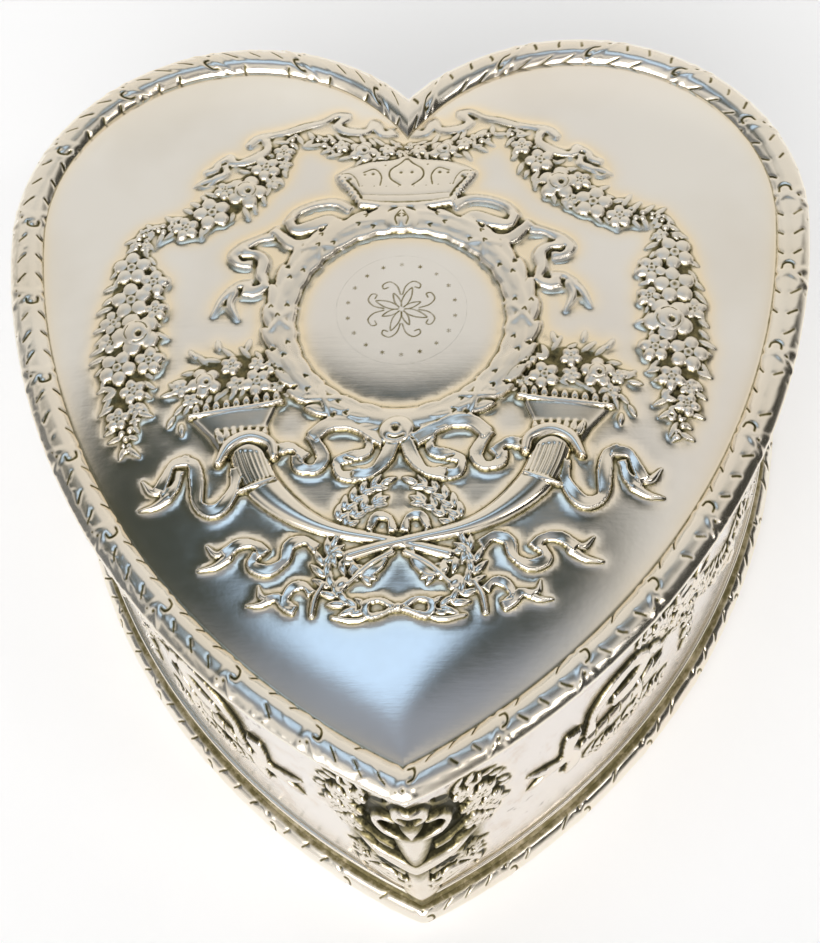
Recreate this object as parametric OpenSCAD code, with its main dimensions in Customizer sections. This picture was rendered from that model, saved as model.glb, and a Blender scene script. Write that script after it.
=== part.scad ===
// Heart-shaped silver trinket box: silver skin on a wooden carcass, velvet inside,
// with a domed lid on two barrel hinges behind the lobes.
// +X is right, +Y runs from the point of the heart to its lobes, +Z is up, and the box stands on z = 0.

/* [Outline] */
// Overall width across the two lobes, over the lid moulding
width = 165; // [155:1:175]
// Radius of each lobe
lobe_r = 47.6; // [46:0.2:49]
// Radius of the long arcs that run down to the point
side_r = 148; // [140:1:160]
// How far below the lobe centre the two arcs meet, in degrees
join_angle = 2.5; // [0:0.5:5]

/* [Body] */
// Height of the body, from the table to the parting plane
body_h = 67; // [55:1:80]
// How far the silver side stands in from the lid's outline
side_inset = 4.5; // [4:0.1:5]
// Thickness of the silver sheet
sheet_t = 0.8; // [0.6:0.1:0.9]
// Thickness of the wooden carcass wall
carcass_t = 4; // [3.6:0.1:4.2]
// Thickness of the base board
base_board_t = 5; // [4:0.5:8]
// Radius of the foot moulding
foot_r = 3.3; // [3:0.1:3.6]
// How far the foot moulding stands in from the lid's outline
foot_inset = 1; // [0.5:0.1:1.5]
// Height to which the hollow above the foot moulding climbs the side
cove_top = 11.4; // [9:0.2:13]
// Height of the lip that locates the lid
lip_h = 3; // [2:0.1:3]
// Thickness of the velvet lining
lining_t = 1.2; // [1:0.1:1.4]
// Thickness of the padded floor
floor_pad_t = 5; // [3:0.5:8]

/* [Lid] */
// Width of the lid moulding
moulding_w = 7.4; // [7:0.1:7.6]
// Height of the lid moulding's centre above its foot
moulding_leg = 3.9; // [3.9:0.1:5]
// How far the lid moulding's foot stands in from the outline
moulding_tuck = 2.4; // [1.8:0.1:2.6]
// Rise of the dome above its edge
dome_h = 6.6; // [5:0.1:8]
// Thickness of the lid's wooden board
lid_board_t = 3; // [2:0.1:3.2]
// Thickness of the padded lid lining
lid_pad_t = 1.8; // [1:0.1:2]

/* [Hinges] */
// Radius of the hinge barrels
barrel_r = 1.9; // [1.7:0.1:2]
// Radius of the hinge pins
pin_r = 0.8; // [0.7:0.05:0.9]
// Length of one knuckle
knuckle_l = 4; // [3:0.5:4.5]

/* [Hidden] */
$fn = 96;
SILVER = [0.84, 0.82, 0.77];
GILT = [0.86, 0.72, 0.42];
WOOD = [0.45, 0.26, 0.15];
VELVET = [0.35, 0.05, 0.12];
LEATHER = [0.16, 0.10, 0.09];
STEEL = [0.62, 0.61, 0.58];

far = 2 * width;              // longer than anything in the box
parting_gap = 0.3;            // between body and closed lid
running_clearance = 0.05;     // between a hinge pin and its knuckles

lobe_x = width / 2 - lobe_r;
side_c_local = [lobe_x - (side_r - lobe_r) * cos(join_angle), (side_r - lobe_r) * sin(join_angle)];
tip_local = side_c_local.y - sqrt(side_r * side_r - side_c_local.x * side_c_local.x);
hinge_back_local = lobe_r + 2 * barrel_r;
lobe_y = -(tip_local + hinge_back_local) / 2; // puts the middle of the box on y = 0
lobe_c = [lobe_x, lobe_y];
side_c = [side_c_local.x, side_c_local.y + lobe_y];
tip_angle = acos(-side_c.x / side_r);
dome_centre = [0, lobe_y - 25];

carcass_out = side_inset + sheet_t + 0.1;
carcass_in = carcass_out + carcass_t;
lining_out = carcass_in + 0.1;
lining_in = lining_out + lining_t;

foot_z = foot_r + 0.6;
skin_gap = 0.05;              // between the side and the foot moulding
flange_w = 4.5;               // the foot moulding's flange under the base board
cloth_z = 0.4;                // the covered underside stands clear of the table
cloth_t = 0.8;
base_z = cloth_z + cloth_t;
floor_z = base_z + base_board_t;
rim_t = 0.8;
rim_z = body_h - rim_t;
lip_w = 1;
lip_out = carcass_in - lip_w;

lid_z = body_h + parting_gap;
bezel_t = 0.8;
bezel_ledge = 0.4;            // how far the bezel reaches in beyond the moulding
moulding_z = lid_z + bezel_t;
moulding_r = moulding_w / 2;
roll_z = moulding_z + moulding_leg;
dome_edge_z = roll_z + 2.4;
lid_board_z = dome_edge_z - sheet_t - lid_board_t; // the dome's edge rests on the board
lid_card_t = 1;
lid_card_z = lid_board_z - lid_card_t;
lid_lining_inset = carcass_in + 1;

axis_y = lobe_y + lobe_r + barrel_r;
axis_z = body_h + parting_gap / 2;
leaf_w = 5 * knuckle_l + 0.2;
leaf_t = 0.8;
body_leaf_depth = lip_out - 0.1;
lid_leaf_depth = 6.7;
pin_head_r = 1.3;
screw_r = 0.6;
screw_head_r = 1.1;
screw_l = 3;
screw_pitch = 6.5;
body_screw_inset = carcass_out + 1.6;
lid_screw_inset = (moulding_w + moulding_tuck) / 2 + 0.3;

// ---- outline ----

// The half plane on the lobe's side of the line through both arc centres.
module lobe_side() {
    translate(lobe_c)
        rotate(-join_angle)
            translate([-far, 0])
                square([2 * far, far]);
}

// Right half of the heart, moved in from the outline by inset.
module half_heart(inset) {
    intersection() {
        translate([0, -far])
            square([far, 2 * far]);
        union() {
            intersection() {
                translate(lobe_c)
                    circle(lobe_r - inset);
                lobe_side();
            }
            difference() {
                translate(side_c)
                    circle(side_r - inset, $fn = 2 * $fn);
                lobe_side();
            }
        }
    }
}

module heart(inset) {
    half_heart(inset);
    mirror([1, 0])
        half_heart(inset);
}

// Right half of an upright band between two insets.
module half_band(inset_out, inset_in, z, h) {
    translate([0, 0, z])
        linear_extrude(h)
            difference() {
                half_heart(inset_out);
                half_heart(inset_in);
            }
}

module band(inset_out, inset_in, z, h) {
    half_band(inset_out, inset_in, z, h);
    mirror([1, 0, 0])
        half_band(inset_out, inset_in, z, h);
}

module slab(inset, z, h) {
    translate([0, 0, z])
        linear_extrude(h)
            heart(inset);
}

// Sweeps a profile, drawn outward from the outline in x and up in y, along the right half of the heart.
// Both arcs run on past the middle plane, which cuts them to a mitre.
module half_sweep() {
    past_middle = 3;
    lobe_angle = 155;
    side_angle = tip_angle + past_middle - join_angle;
    intersection() {
        translate([0, -far, -far])
            cube([far, 2 * far, 2 * far]);
        translate(lobe_c)
            rotate(-join_angle) {
                rotate_extrude(angle = lobe_angle)
                    translate([lobe_r, 0])
                        children();
                translate([lobe_r - side_r, 0])
                    mirror([0, 1, 0])
                        rotate_extrude(angle = side_angle, $fn = 2 * $fn)
                            translate([side_r, 0])
                                children();
            }
    }
}

// Points along the right half of the outline, from the cleft to the point.
function half_outline(inset, n_lobe, n_side) =
    let(cleft = acos(-lobe_x / (lobe_r - inset)),
        point = acos(-side_c.x / (side_r - inset)))
    concat(
        [for (i = [0:n_lobe - 1])
            let(a = cleft - (cleft + join_angle) * i / n_lobe)
            lobe_c + (lobe_r - inset) * [cos(a), sin(a)]],
        [for (i = [0:n_side])
            let(a = -join_angle - (point - join_angle) * i / n_side)
            side_c + (side_r - inset) * [cos(a), sin(a)]]);

// The whole outline, once round.
function outline(inset, n_lobe, n_side) =
    let(right = half_outline(inset, n_lobe, n_side), last = len(right) - 1)
    concat(right, [for (i = [1:last - 1]) let(p = right[last - i]) [-p.x, p.y]]);

// ---- silver skin and mouldings ----

module side_skin_right() {
    color(SILVER)
        half_band(side_inset, side_inset + sheet_t, base_z, rim_z - base_z);
}

// A half-round roll on a flat foot ring, with a hollow above it that runs up the side.
module foot_profile() {
    ring_h = 1.4;
    ring_in = foot_inset + 0.9;
    cove_w = 2.4;
    cove_h = cove_top - foot_z;
    edge_t = 0.5;
    intersection() {
        union() {
            translate([-foot_inset - foot_r, foot_z])
                circle(foot_r, $fn = 48);
            translate([-side_inset, 0])
                square([side_inset - ring_in, ring_h]);
            translate([-side_inset, foot_z])
                difference() {
                    square([cove_w, cove_h]);
                    translate([cove_w + edge_t, cove_h])
                        scale([1, cove_h / cove_w])
                            circle(cove_w, $fn = 64);
                }
        }
        translate([-side_inset + skin_gap, 0])
            square([far, far]);
    }
}

module foot_moulding_right() {
    color(SILVER) {
        half_sweep()
            foot_profile();
        difference() {
            half_band(side_inset - 0.1, side_inset + flange_w, cloth_z, cloth_t);
            base_pin_set();
        }
    }
}

// A round roll on a straight foot that is tucked in under its outer side. It shrinks all round by shrink.
module moulding_profile(shrink) {
    translate([-moulding_r, moulding_leg]) {
        circle(moulding_r - shrink, $fn = 64);
        translate([-moulding_r + shrink, -moulding_leg])
            square([moulding_w - moulding_tuck - 2 * shrink, moulding_leg]);
    }
}

module lid_moulding_right() {
    color(SILVER)
        translate([0, 0, moulding_z])
            half_sweep()
                difference() {
                    moulding_profile(0);
                    moulding_profile(sheet_t);
                }
}

module moulding_core_right() {
    color(WOOD)
        difference() {
            translate([0, 0, moulding_z])
                half_sweep()
                    moulding_profile(sheet_t);
            screw_set(lobe_x, lid_screw_inset, lid_z, screw_l);
        }
}

module lid_bezel() {
    color(SILVER)
        difference() {
            band(moulding_tuck, moulding_w + bezel_ledge, lid_z, bezel_t);
            hinge_notch(lobe_x, lid_leaf_depth);
            hinge_notch(-lobe_x, lid_leaf_depth);
        }
}

// Smooth distance from the edge of the dome, equal to the true distance close to it.
function edge_distance(p, edge) =
    let(n = len(edge),
        pull = [for (i = [0:n - 1])
            let(q = edge[i], r = edge[(i + 1) % n], m = (q + r) / 2)
            norm(r - q) / pow(max(norm(p - m), 0.5), 3)],
        ones = [for (i = pull) 1])
    pow((pull * ones) / 2, -0.5);

// The dome is a sheet whose height follows the smooth distance from its edge.
module lid_panel() {
    rings = 7;
    rim_inset = 7.1;
    edge = outline(rim_inset, 14, 16);
    fine_edge = outline(rim_inset, 48, 60);
    n = len(edge);
    crown = edge_distance(dome_centre, fine_edge);
    top = [for (k = [0:rings - 1], i = [0:n - 1])
        let(p = dome_centre + (edge[i] - dome_centre) * (1 - pow(k / rings, 1.3)),
            s = k == 0 ? 0 : min(1, edge_distance(p, fine_edge) / crown))
        [p.x, p.y, dome_edge_z + dome_h * (1 - pow(1 - s, 2))]];
    all_top = concat(top, [[dome_centre.x, dome_centre.y, dome_edge_z + dome_h]]);
    m = len(all_top);
    points = concat(all_top, [for (p = all_top) p - [0, 0, sheet_t]]);
    function at(k, i) = k * n + i % n;
    sheet = concat(
        [for (k = [0:rings - 2], i = [0:n - 1]) [at(k, i), at(k, i + 1), at(k + 1, i + 1)]],
        [for (k = [0:rings - 2], i = [0:n - 1]) [at(k, i), at(k + 1, i + 1), at(k + 1, i)]],
        [for (i = [0:n - 1]) [at(rings - 1, i), at(rings - 1, i + 1), m - 1]]);
    color(SILVER)
        polyhedron(
            points,
            concat(
                sheet,
                [for (f = sheet) [f[2] + m, f[1] + m, f[0] + m]],
                [for (i = [0:n - 1]) [at(0, i + 1), at(0, i), at(0, i) + m]],
                [for (i = [0:n - 1]) [at(0, i + 1), at(0, i) + m, at(0, i + 1) + m]]));
}

module body_rim() {
    color(GILT) {
        difference() {
            band(side_inset - 0.1, lip_out, rim_z, rim_t);
            hinge_notch(lobe_x, body_leaf_depth);
            hinge_notch(-lobe_x, body_leaf_depth);
        }
        band(lip_out, carcass_in, rim_z, rim_t + lip_h);
    }
}

// ---- woodwork ----

module carcass_wall_right() {
    color(WOOD)
        difference() {
            half_band(carcass_out, carcass_in, floor_z, rim_z - floor_z);
            screw_set(lobe_x, body_screw_inset, rim_z - screw_l, screw_l + 1);
        }
}

module base_board() {
    color(WOOD)
        difference() {
            slab(carcass_out, base_z, base_board_t);
            base_pin_set();
        }
}

module lid_board() {
    color(WOOD)
        slab(moulding_w + 0.1, lid_board_z, lid_board_t);
}

// ---- linings and pads ----

module base_cloth() {
    color(LEATHER)
        slab(side_inset + flange_w + 0.2, cloth_z, cloth_t);
}

module wall_lining_right() {
    color(VELVET)
        half_band(lining_out, lining_in, floor_z, rim_z - floor_z - 0.2);
}

module floor_pad() {
    color(VELVET)
        slab(lining_in + 0.2, floor_z, floor_pad_t);
}

module lid_lining_card() {
    color(LEATHER)
        slab(lid_lining_inset, lid_card_z, lid_card_t);
}

module lid_lining_pad() {
    color(VELVET)
        slab(lid_lining_inset + 0.2, lid_card_z - lid_pad_t, lid_pad_t);
}

// ---- hinges ----

// Where knuckle k starts, from the middle of its hinge.
function knuckle_x(k) = (k - 2.5) * knuckle_l;

// The room that a hinge's leaves take in the rim or the bezel, as far in from the outline as depth.
module hinge_notch(x, depth) {
    translate([x - leaf_w / 2, axis_y - barrel_r - depth, rim_z])
        cube([leaf_w, far, 2 * leaf_t + parting_gap + 0.01]);
}

// A round bar along the hinge axis.
module bar(r, x, l) {
    translate([x, axis_y, axis_z])
        rotate([0, 90, 0])
            cylinder(r = r, h = l, $fn = 48);
}

// Upright holes or shanks at the three screw places of one hinge.
module screw_set(x, inset, z, h) {
    for (dx = [-1, 0, 1])
        translate([x + dx * screw_pitch, lobe_y + lobe_r - inset, z])
            cylinder(r = screw_r, h = h, $fn = 24);
}

// Countersunk heads, flush with the leaf's face at z. They point down for the body and up for the lid.
module screw_heads(x, inset, z, up) {
    head_h = screw_head_r - screw_r;
    for (dx = [-1, 0, 1])
        translate([x + dx * screw_pitch, lobe_y + lobe_r - inset, z])
            mirror([0, 0, up])
                translate([0, 0, -head_h])
                    cylinder(r1 = screw_r, r2 = screw_head_r, h = head_h, $fn = 24);
}

// One leaf: a flat plate with knuckles at the places in own, cut back where the other leaf has its own.
module leaf(x, z, depth, bore_r, own, others) {
    end_gap = 0.08;
    turning_gap = 0.25;
    plate_y = axis_y - barrel_r - depth + 0.1;
    difference() {
        union() {
            difference() {
                translate([x - 2.5 * knuckle_l, plate_y, z])
                    cube([5 * knuckle_l, axis_y - plate_y, leaf_t]);
                for (k = others)
                    bar(barrel_r + turning_gap, x + knuckle_x(k) - end_gap, knuckle_l + 2 * end_gap);
            }
            for (k = own)
                bar(barrel_r, x + knuckle_x(k) + end_gap, knuckle_l - 2 * end_gap);
        }
        bar(bore_r, x - leaf_w, 2 * leaf_w);
    }
}

module body_leaf(x) {
    color(STEEL)
        difference() {
            leaf(x, rim_z, body_leaf_depth, pin_r, [0, 2, 4], [1, 3]);
            screw_set(x, body_screw_inset, rim_z - 1, 3);
            screw_heads(x, body_screw_inset, rim_z + leaf_t, 0);
        }
}

module lid_leaf(x) {
    color(STEEL)
        difference() {
            leaf(x, lid_z, lid_leaf_depth, pin_r + running_clearance, [1, 3], [0, 2, 4]);
            screw_set(x, lid_screw_inset, lid_z - 1, 3);
            screw_heads(x, lid_screw_inset, lid_z, 1);
        }
}

module hinge_body_screws() {
    color(STEEL)
        for (x = [-lobe_x, lobe_x]) {
            screw_set(x, body_screw_inset, rim_z - screw_l, screw_l + leaf_t);
            screw_heads(x, body_screw_inset, rim_z + leaf_t, 0);
        }
}

module hinge_lid_screws() {
    color(STEEL)
        for (x = [-lobe_x, lobe_x]) {
            screw_set(x, lid_screw_inset, lid_z, screw_l);
            screw_heads(x, lid_screw_inset, lid_z, 1);
        }
}

module hinge_pin(x) {
    head_l = 0.5;
    half_l = 2.5 * knuckle_l;
    color(STEEL) {
        bar(pin_r, x - half_l, 2 * half_l);
        for (head_x = [-half_l - head_l, half_l])
            bar(pin_head_r, x + head_x, head_l);
    }
}

// Small pins that hold the foot moulding's flange to the base board.
module base_pin_set() {
    pin_inset = side_inset + 3;
    base_pin_r = 0.5;
    base_pin_l = 3.6;
    places = half_outline(pin_inset, 4, 5);
    for (i = [1:len(places) - 2], s = [-1, 1])
        translate([s * places[i].x, places[i].y, cloth_z])
            cylinder(r = base_pin_r, h = base_pin_l, $fn = 24);
}

module base_pins() {
    color(SILVER)
        base_pin_set();
}

mirror([1, 0, 0]) side_skin_right();  // side_skin_left
side_skin_right();
mirror([1, 0, 0]) foot_moulding_right();  // foot_moulding_left
foot_moulding_right();
mirror([1, 0, 0]) carcass_wall_right();  // carcass_wall_left
carcass_wall_right();
base_board();
base_cloth();
base_pins();
body_rim();
mirror([1, 0, 0]) wall_lining_right();  // wall_lining_left
wall_lining_right();
floor_pad();
body_leaf(-lobe_x);  // hinge_left_body_leaf
body_leaf(lobe_x);  // hinge_right_body_leaf
hinge_pin(-lobe_x);  // hinge_left_pin
hinge_pin(lobe_x);  // hinge_right_pin
hinge_body_screws();
lid_panel();
mirror([1, 0, 0]) lid_moulding_right();  // lid_moulding_left
lid_moulding_right();
mirror([1, 0, 0]) moulding_core_right();  // moulding_core_left
moulding_core_right();
lid_bezel();
lid_board();
lid_lining_card();
lid_lining_pad();
lid_leaf(-lobe_x);  // hinge_left_lid_leaf
lid_leaf(lobe_x);  // hinge_right_lid_leaf
hinge_lid_screws();
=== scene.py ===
"""Heart-shaped silver trinket box: a chased dome, laurel mouldings, relief sides and a velvet inside.

Lengths are in millimetres until a mesh is made. Plan places on the lid and the walls are measured
from the line through the centres of the two lobes, which is y = 0 here and LOBE_Y in the frame.
"""
import math

import bpy
import numpy as np
from mathutils import Matrix, Vector


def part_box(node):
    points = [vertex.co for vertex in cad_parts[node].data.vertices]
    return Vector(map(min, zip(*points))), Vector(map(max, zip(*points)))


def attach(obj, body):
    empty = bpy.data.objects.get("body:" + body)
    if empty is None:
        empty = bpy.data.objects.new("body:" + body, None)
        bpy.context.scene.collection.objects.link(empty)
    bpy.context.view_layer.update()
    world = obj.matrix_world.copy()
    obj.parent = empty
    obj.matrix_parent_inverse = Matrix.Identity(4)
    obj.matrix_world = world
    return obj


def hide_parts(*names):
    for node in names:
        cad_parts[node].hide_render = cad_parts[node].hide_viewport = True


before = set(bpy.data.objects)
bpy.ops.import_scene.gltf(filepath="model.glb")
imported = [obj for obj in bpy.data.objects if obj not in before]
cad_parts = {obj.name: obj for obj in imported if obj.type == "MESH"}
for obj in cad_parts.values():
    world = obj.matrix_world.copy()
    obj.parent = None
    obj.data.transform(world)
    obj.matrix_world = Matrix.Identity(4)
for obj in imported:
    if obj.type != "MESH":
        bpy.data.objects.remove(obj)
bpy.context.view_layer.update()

MM = 0.001
SIDES = ((1, "right"), (-1, "left"))


def box_mm(node):
    """The low and high corners of a CAD node's box."""
    low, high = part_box(node)
    return np.array(low) / MM, np.array(high) / MM


def polar(x, y, r, angle):
    """The point at a distance and an angle from another."""
    return x + r * math.cos(angle), y + r * math.sin(angle)


def facing(angle, flow):
    """An angle, or its mirror image if flow is negative."""
    return angle if flow > 0 else math.pi - angle


# ---------------------------------------------------------------- the heart's outline

MOULDING_LOW, MOULDING_HIGH = box_mm("lid_moulding_right")
LOBE_R = 47.6
SIDE_R = 148.0
JOIN = math.radians(2.5)
TIP_ROUND = 5.0
TIP_SLOPE = 0.49
TIP_EASE = 0.184
LOBE_X = MOULDING_HIGH[0] - LOBE_R
LOBE_Y = MOULDING_HIGH[1] - LOBE_R
SIDE_X = LOBE_X - (SIDE_R - LOBE_R) * math.cos(JOIN)
SIDE_Y = (SIDE_R - LOBE_R) * math.sin(JOIN)


def half_points(along, inset):
    """Points on the right half, 0 at the point of the heart to 1 at the cleft, moved in by inset.

    Both arrays broadcast. Every inset ends in the middle plane, so the two halves meet in a mitre.
    The point itself is a little rounded near the outline.
    """
    along, inset = np.broadcast_arrays(along, inset)
    side_end = np.arccos(-SIDE_X / (SIDE_R - inset))
    lobe_end = np.arccos(np.maximum(-LOBE_X / (LOBE_R - inset), -1))
    t = along / SIDE_SHARE
    side_angle = -side_end + (side_end - JOIN) * np.minimum(t, 1)
    u = (along - SIDE_SHARE) / (1 - SIDE_SHARE)
    lobe_angle = -JOIN + (lobe_end + JOIN) * np.clip(u, 0, 1)
    on_side = along <= SIDE_SHARE
    x = np.where(on_side, SIDE_X + (SIDE_R - inset) * np.cos(side_angle),
                 LOBE_X + (LOBE_R - inset) * np.cos(lobe_angle))
    y = np.where(on_side, SIDE_Y + (SIDE_R - inset) * np.sin(side_angle),
                 (LOBE_R - inset) * np.sin(lobe_angle))
    ease = TIP_EASE * np.maximum(TIP_ROUND - inset, 0) * np.clip(1.5 - along * 8, 0, 1)
    return x, y + np.sqrt((TIP_SLOPE * x) ** 2 + ease ** 2) - TIP_SLOPE * np.abs(x)


def half_length(inset):
    """Lengths of the side arc and the lobe arc of one half."""
    side = (SIDE_R - inset) * (math.acos(-SIDE_X / (SIDE_R - inset)) - JOIN)
    lobe = (LOBE_R - inset) * (math.acos(-LOBE_X / (LOBE_R - inset)) + JOIN)
    return side, lobe


SIDE_SHARE = half_length(4)[0] / sum(half_length(4))


def inset_at(x, y):
    """How far inside the outline a point lies. It is negative outside."""
    x = np.abs(x)
    above = y + (x - LOBE_X) * math.tan(JOIN) > 0
    return np.where(above, LOBE_R - np.hypot(x - LOBE_X, y), SIDE_R - np.hypot(x - SIDE_X, y - SIDE_Y))


# ---------------------------------------------------------------- relief fields


class Relief:
    """A height field over a plane, in blocks that become one face each where the field is plain."""

    def __init__(self, x0, x1, y0, y1, block, parts):
        self.pitch = block / parts
        self.parts = parts
        self.blocks = (round((y1 - y0) / block), round((x1 - x0) / block))
        self.x = x0 + self.pitch * np.arange(self.blocks[1] * parts + 1)
        self.y = y0 + self.pitch * np.arange(self.blocks[0] * parts + 1)
        self.h = np.zeros((len(self.y), len(self.x)))
        self.ink = np.zeros_like(self.h)
        self.soft = np.zeros_like(self.h)

    def window(self, x0, x1, y0, y1):
        i0, i1 = np.searchsorted(self.x, [x0, x1])
        j0, j1 = np.searchsorted(self.y, [y0, y1])
        rows, cols = slice(j0, j1), slice(i0, i1)
        return (rows, cols), self.x[None, cols], self.y[rows, None]

    def turned(self, x, y, reach, angle):
        """The window round a point, and the distances from the point along an angle and across it."""
        part, X, Y = self.window(x - reach, x + reach, y - reach, y + reach)
        c, s = math.cos(angle), math.sin(angle)
        return part, (X - x) * c + (Y - y) * s, (Y - y) * c - (X - x) * s

    def lift(self, part, height):
        self.h[part] = np.maximum(self.h[part], height)

    def stain(self, part, ink):
        self.ink[part] = np.maximum(self.ink[part], ink)

    # The single stamps. Each has its place, its size, and the level that it stands on.

    def ball(self, x, y, r, height, base=0.0, stretch=1.0, angle=0.0):
        part, u, v = self.turned(x, y, r * max(1, stretch), angle)
        q = 1 - ((u / stretch) ** 2 + v * v) / r ** 2
        self.lift(part, np.where(q > 0, base + height * np.sqrt(np.maximum(q, 0)), 0))

    def pit(self, x, y, r, depth, ink=0.8, stretch=1.0, angle=0.0, power=1):
        part, u, v = self.turned(x, y, 2.5 * r * stretch, angle)
        fall = np.exp(-(((u / stretch) ** 2 + v * v) / r ** 2) ** power)
        self.h[part] -= depth * fall
        self.stain(part, ink * fall)

    def leaf(self, x, y, angle, length, width, height, base=0.0):
        """A pointed leaf from its stalk end, with a crease down its middle."""
        part, u, v = self.turned(x, y, length, angle)
        u, v = u / length, v / (width / 2)
        inside = np.clip(u, 0, 1)
        half = 1.9 * (inside * (1 - inside)) ** 0.62 * (1.25 - 0.5 * inside) + 1e-6
        q = 1 - (v / half) ** 2
        crease = 0.3 * np.exp(-(v / 0.22) ** 2) * np.sin(math.pi * inside)
        h = height * (np.sqrt(np.maximum(q, 0)) * (0.65 + 0.35 * np.sin(math.pi * inside)) - crease)
        self.lift(part, np.where((q > 0) & (u > 0) & (u < 1), base + h, 0))

    def flower(self, x, y, r, height, petals, turn, base=0.0):
        """A low dome for each petal, and a bead with a dot in it at the centre."""
        for k in range(petals):
            a = turn + 2 * math.pi * k / petals
            self.ball(*polar(x, y, 0.58 * r, a), 0.4 * r, 0.45 * height, base + 0.4 * height, 1.1, a)
        self.ball(x, y, 0.25 * r, 0.4 * height, base + 0.6 * height)
        self.pit(x, y, 0.13 * r, 0.3 * height, 0.7)

    def rose(self, x, y, r, height, turn, base):
        """A round heart of folded petals with five outer petals behind it."""
        for k in range(5):
            a = turn + 2 * math.pi * k / 5
            self.ball(*polar(x, y, 0.66 * r, a), 0.42 * r, 0.4 * height, base + 0.3 * height)
        self.ball(x, y, 0.66 * r, 0.7 * height, base + 0.45 * height)
        for k in range(3):
            a = turn + 0.8 + 2.1 * k
            self.groove([polar(x, y, 0.5 * r, a + b) for b in (0, 0.5, 1.0, 1.5)], 0.14, 0.22 * height, 0.55)
        self.pit(x + 0.12 * r, y - 0.12 * r, 0.14 * r, 0.55 * height, 0.9)

    # The strokes along a curve.

    def near(self, path, reach):
        """For the field around a path: the window, distance along, and signed distance to its side."""
        points = np.asarray(path)
        low, high = points.min(0) - reach, points.max(0) + reach
        part, X, Y = self.window(low[0], high[0], low[1], high[1])
        shape = (Y.size, X.size)
        ahead = headings(points)
        length = np.concatenate([[0], np.cumsum(np.linalg.norm(np.diff(points, axis=0), axis=1))])
        along, side = np.full(shape, -1.0), np.full(shape, 1e3)
        best = np.full(shape, reach ** 2)
        for p, t, l in zip(points, ahead, length):
            cut, X, Y = self.window(p[0] - reach, p[0] + reach, p[1] - reach, p[1] + reach)
            rows = slice(cut[0].start - part[0].start, cut[0].stop - part[0].start)
            cols = slice(cut[1].start - part[1].start, cut[1].stop - part[1].start)
            dx, dy = X - p[0], Y - p[1]
            d = dx * dx + dy * dy
            closer = d < best[rows, cols]
            forward = dx * t[0] + dy * t[1]
            best[rows, cols] = np.where(closer, d, best[rows, cols])
            along[rows, cols] = np.where(closer, l + forward, along[rows, cols])
            side[rows, cols] = np.where(closer, t[0] * dy - t[1] * dx, side[rows, cols])
        return part, along, side, length[-1]

    def ribbon(self, knots, width, height, base, phase, turns, fork=False):
        """A twisting band. It narrows where it turns edge on, and ends in a swallow tail if it has a fork."""
        path = spline(knots)
        part, along, side, total = self.near(path, 0.75 * width)
        t = np.clip(along / total, 0, 1)
        twist = 2 * math.pi * turns * t + phase
        half = width / 2 * (0.66 + 0.34 * np.abs(np.cos(twist)))
        v = side / half
        inside = (np.abs(v) < 1) & (along > -0.05) & (along < total + 0.05)
        edge = 0.07 * np.exp(-((np.abs(v) - 0.85) / 0.16) ** 2)
        h = height * (0.74 + 0.05 * (1 - v * v) + edge + 0.17 * v * np.sin(twist))
        self.lift(part, np.where(inside, base + h, 0))
        if fork:
            end, back = path[-1], path[-1] - path[-6]
            back /= np.linalg.norm(back)
            out = np.array([-back[1], back[0]])
            for s in (1, -1):
                root = end + 0.22 * s * width * out - 0.6 * back
                tip = end + 1.15 * width * back + 0.75 * s * width * out
                self.rod([root, (root + tip) / 2 + 0.12 * s * width * out, tip], (0.5 * width, 0.06 * width),
                         0.85 * height, base)

    def rod(self, knots, widths, height, base=0.0, power=0.5, ends=True):
        """A round bar whose width runs from the first to the last of widths."""
        path = spline(knots)
        widths = np.asarray(widths, float)
        part, along, side, total = self.near(path, widths.max() / 2 + 0.1)
        t = np.clip(along / total, 0, 1)
        half = np.interp(t, np.linspace(0, 1, len(widths)), widths) / 2
        v = side / half
        over = np.maximum(np.maximum(-along, along - total), 0) / half
        q = 1 - v * v - over * over
        h = height * np.maximum(q, 0) ** power * (half / half.max()) ** 0.35
        if not ends:
            q = np.where(over > 0, 0, q)
        self.lift(part, np.where(q > 0, base + h, 0))

    def groove(self, knots, width, depth, ink=0.8):
        path = spline(knots)
        part, along, side, total = self.near(path, 3 * width)
        fade = np.clip(np.minimum(along, total - along) / (2 * width) + 0.6, 0, 1)
        fall = np.exp(-(side / width) ** 2) * fade
        self.h[part] -= depth * fall
        self.stain(part, ink * fall)


def spline(knots, step=0.3):
    """A smooth path through the knots, with a point about every step."""
    p = np.asarray(knots, float)
    if len(p) == 2:
        n = max(2, int(np.linalg.norm(p[1] - p[0]) / step))
        return p[0] + (p[1] - p[0]) * np.linspace(0, 1, n)[:, None]
    p = np.vstack([2 * p[0] - p[1], p, 2 * p[-1] - p[-2]])
    out = []
    for a, b, c, d in zip(p, p[1:], p[2:], p[3:]):
        n = max(2, int(np.linalg.norm(c - b) / step))
        t = (np.arange(n) / n)[:, None]
        out.append(b + 0.5 * t * (c - a + t * (2 * a - 5 * b + 4 * c - d + t * (3 * (b - c) + d - a))))
    return np.vstack(out + [p[-2:-1]])


def headings(path):
    """The unit direction at each point of a path."""
    ahead = np.gradient(path, axis=0)
    return ahead / np.linalg.norm(ahead, axis=1)[:, None]


def blur(field, sigma, pitch):
    """A Gaussian blur, row by row and then column by column."""
    reach = max(1, int(3 * sigma / pitch))
    weights = np.exp(-0.5 * (np.arange(-reach, reach + 1) * pitch / sigma) ** 2)
    weights /= weights.sum()
    for axis in (0, 1):
        n = field.shape[axis]
        padded = np.pad(field, [(reach, reach) if a == axis else (0, 0) for a in (0, 1)], mode="edge")
        field = sum(w * padded.take(range(k, k + n), axis=axis) for k, w in enumerate(weights))
    return field


# ---------------------------------------------------------------- meshes


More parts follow.
